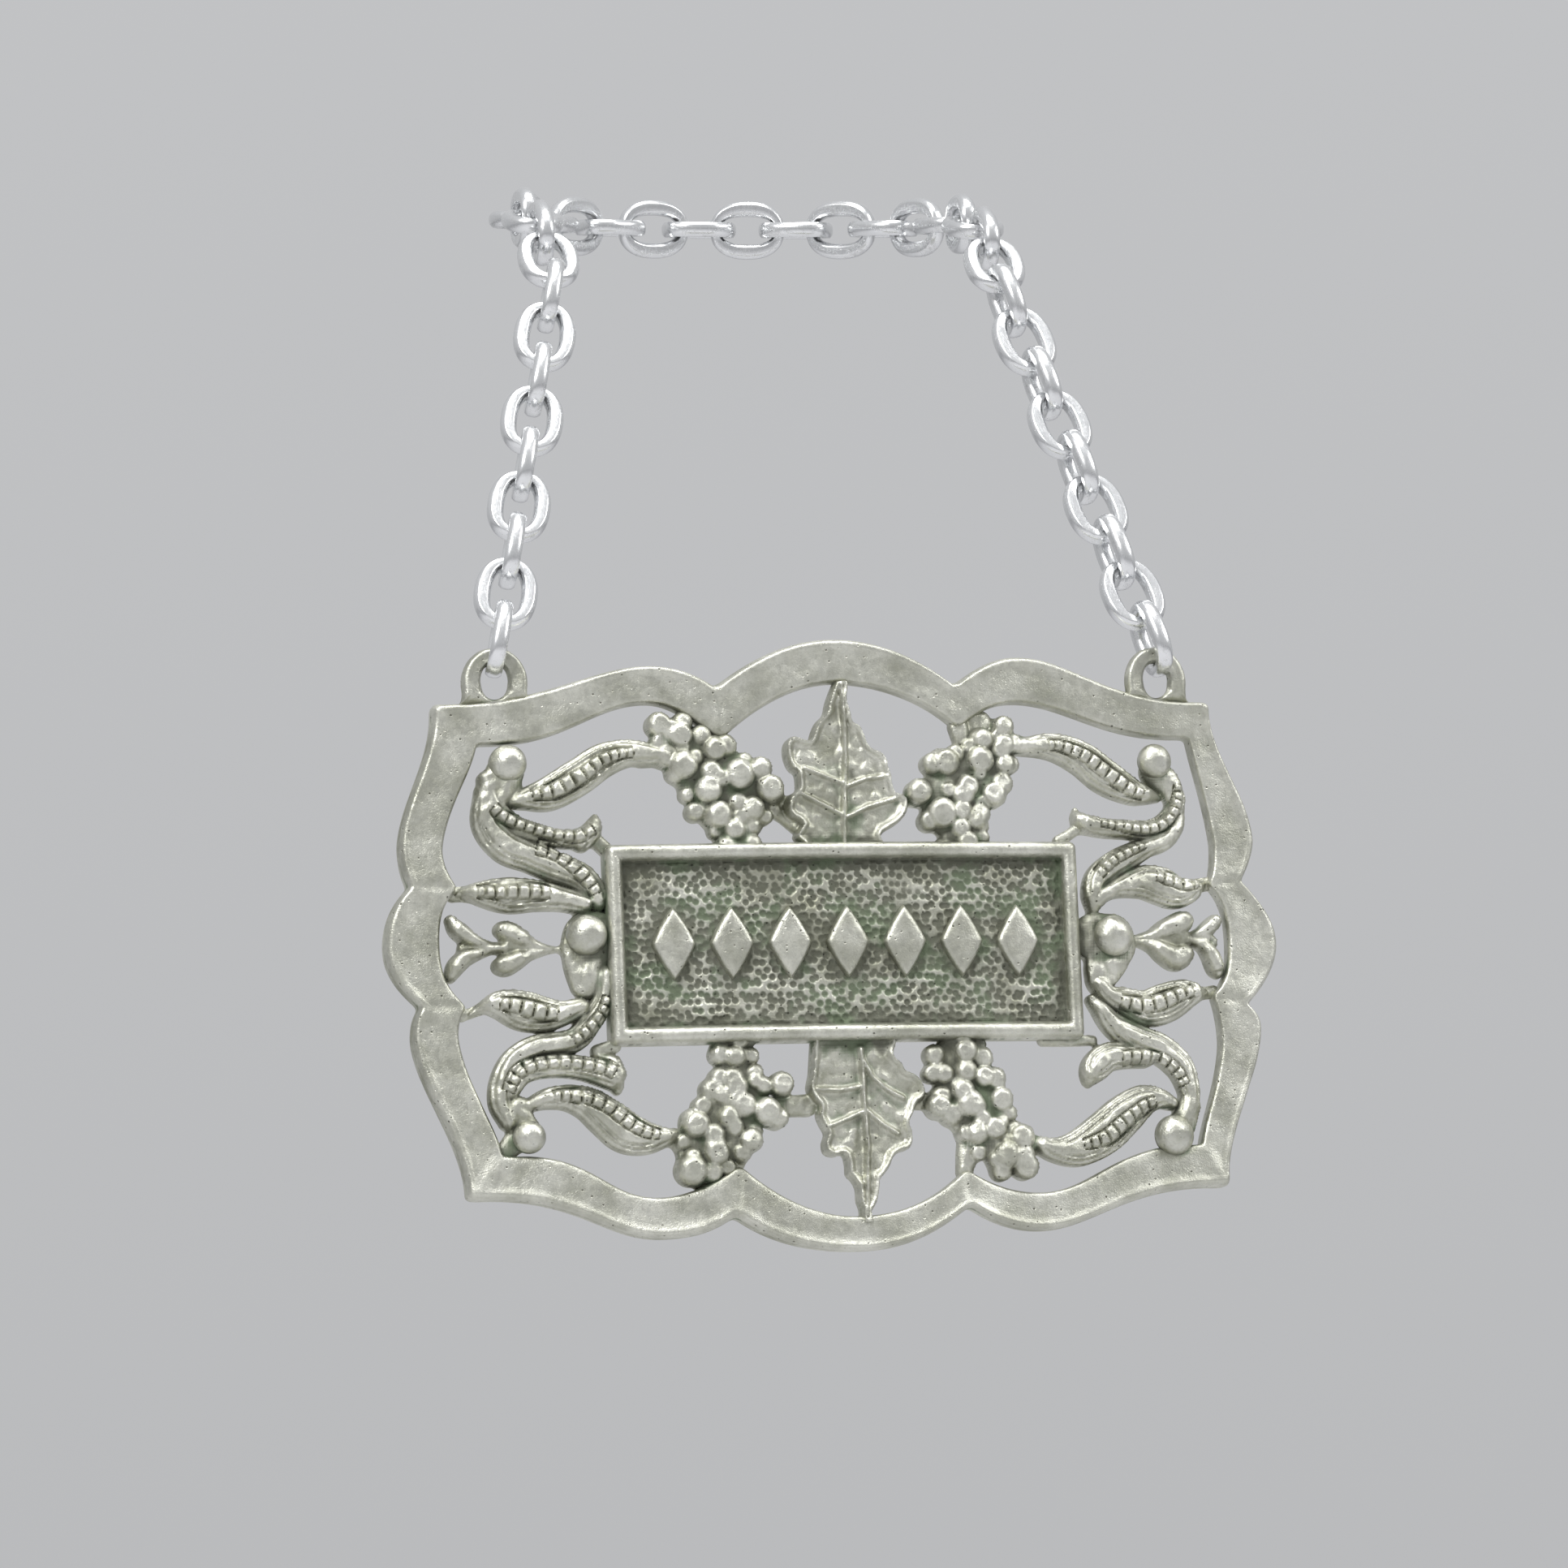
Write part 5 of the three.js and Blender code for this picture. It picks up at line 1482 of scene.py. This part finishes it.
link_nodes = sorted(name for name in frame["nodes"] if "link" in name)
bodies = frame["record"]["behaviour"]["bodies"]
body_of = {node: body for body, nodes in bodies.items() for node in nodes}
for node in link_nodes:
    middle, (long_way, wide_way, thick_way) = own_frame(frame["nodes"][node])
    placed = (middle + rings_of_link[..., :1] * wide_way + rings_of_link[..., 1:2] * long_way
              + rings_of_link[..., 2:] * thick_way)
    shell = loft(placed, 0.0, closed=True)
    make_piece(f"{node}_plated", shell, silver_plate, body_of[node], (node,))

# %% [markdown]
# ## Studio
# A wide pale floor lies below the label. A paper wall behind it would hide it from the back,
# so there is none: a pale sky stands all round, and the metal has something to reflect
# whichever way it is seen.

# %% Floor
FLOOR_Z = -152.0
FLOOR_HALF = 9000.0
FLOOR_POINTS = 9
PAPER_DARKER, PAPER_PALER = (0.51, 0.51, 0.52, 1), (0.54, 0.54, 0.55, 1)


def floor_sheet():
    """A level square sheet, as a grid of a few points each way."""
    across = np.linspace(-FLOOR_HALF, FLOOR_HALF, FLOOR_POINTS)
    level_x, level_y = np.meshgrid(across, across)
    return np.stack([level_x, level_y, np.full(level_x.shape, FLOOR_Z)], -1)


sheet = floor_sheet()
i, j = np.meshgrid(np.arange(FLOOR_POINTS - 1), np.arange(FLOOR_POINTS - 1), indexing="ij")
corner = i * FLOOR_POINTS + j
quads = np.stack([corner, corner + 1, corner + FLOOR_POINTS + 1, corner + FLOOR_POINTS], -1)
floor_mesh = bpy.data.meshes.new("studio_floor")
floor_mesh.from_pydata(sheet.reshape(-1, 3) * MM, [], quads.reshape(-1, 4).tolist())
floor_mesh.polygons.foreach_set("use_smooth", np.ones(len(floor_mesh.polygons), bool))
studio_floor = bpy.data.objects.new("studio_floor", floor_mesh)
bpy.context.scene.collection.objects.link(studio_floor)
paper = Finish("pale_paper")
paper_tone = paper.tint(paper.noise(60, detail=2), PAPER_DARKER, PAPER_PALER)
paper.wear_in(Base_Color=paper_tone, Roughness=0.9)
floor_mesh.materials.append(paper.material)
print("floor:", FLOOR_POINTS**2, "points")

# %% [markdown]
# Metal shows its shape by what it reflects. Two large soft lamps stand at the upper left and
# the upper right, as on a product photographer's table, and one above. Small lamps would
# leave hard dots. The sky is a little brighter above than at the horizon, which darkens the
# lower sides of the relief.

# %% Lamps and sky
LAMPS = [("upper_left", (-380, -380, 380), 240, 2.8),
         ("upper_right", (460, -300, 300), 240, 1.3),
         ("top", (40, -120, 520), 260, 2.0)]
SKY_COLOUR = (0.93, 0.94, 0.96, 1)
SKY_LEVELS = {"From Min": -0.1, "From Max": 0.9, "To Min": 0.50, "To Max": 0.70}


def soft_lamp(name, place, size, watts):
    """A square area lamp at a place in millimetres, aimed at the plate's middle."""
    light = bpy.data.lights.new(name, "AREA")
    light.shape = "SQUARE"
    light.size = size * MM
    light.energy = watts
    lamp = bpy.data.objects.new(name, light)
    bpy.context.scene.collection.objects.link(lamp)
    aim = Vector([0, PLATE_Y, PLATE_Z]) - Vector(place)
    turned = aim.to_track_quat("-Z", "Y").to_matrix().to_4x4()
    lamp.matrix_world = Matrix.Translation(Vector(place) * MM) @ turned


for lamp_values in LAMPS:
    soft_lamp(*lamp_values)
world = bpy.data.worlds.new("studio_sky")
bpy.context.scene.world = world
world.use_nodes = True
tree = world.node_tree
direction = tree.nodes.new("ShaderNodeTexCoord")
split = tree.nodes.new("ShaderNodeSeparateXYZ")
ramp = tree.nodes.new("ShaderNodeMapRange")
for socket, level in SKY_LEVELS.items():
    ramp.inputs[socket].default_value = level
tree.nodes["Background"].inputs["Color"].default_value = SKY_COLOUR
tree.links.new(direction.outputs["Generated"], split.inputs[0])
tree.links.new(split.outputs["Z"], ramp.inputs["Value"])
tree.links.new(ramp.outputs[0], tree.nodes["Background"].inputs["Strength"])
print("lamps:", len(bpy.data.lights))

# %% [markdown]
# The colours are shown as they are, with no film curve.

# %% Colour view
bpy.context.scene.view_settings.view_transform = "Standard"
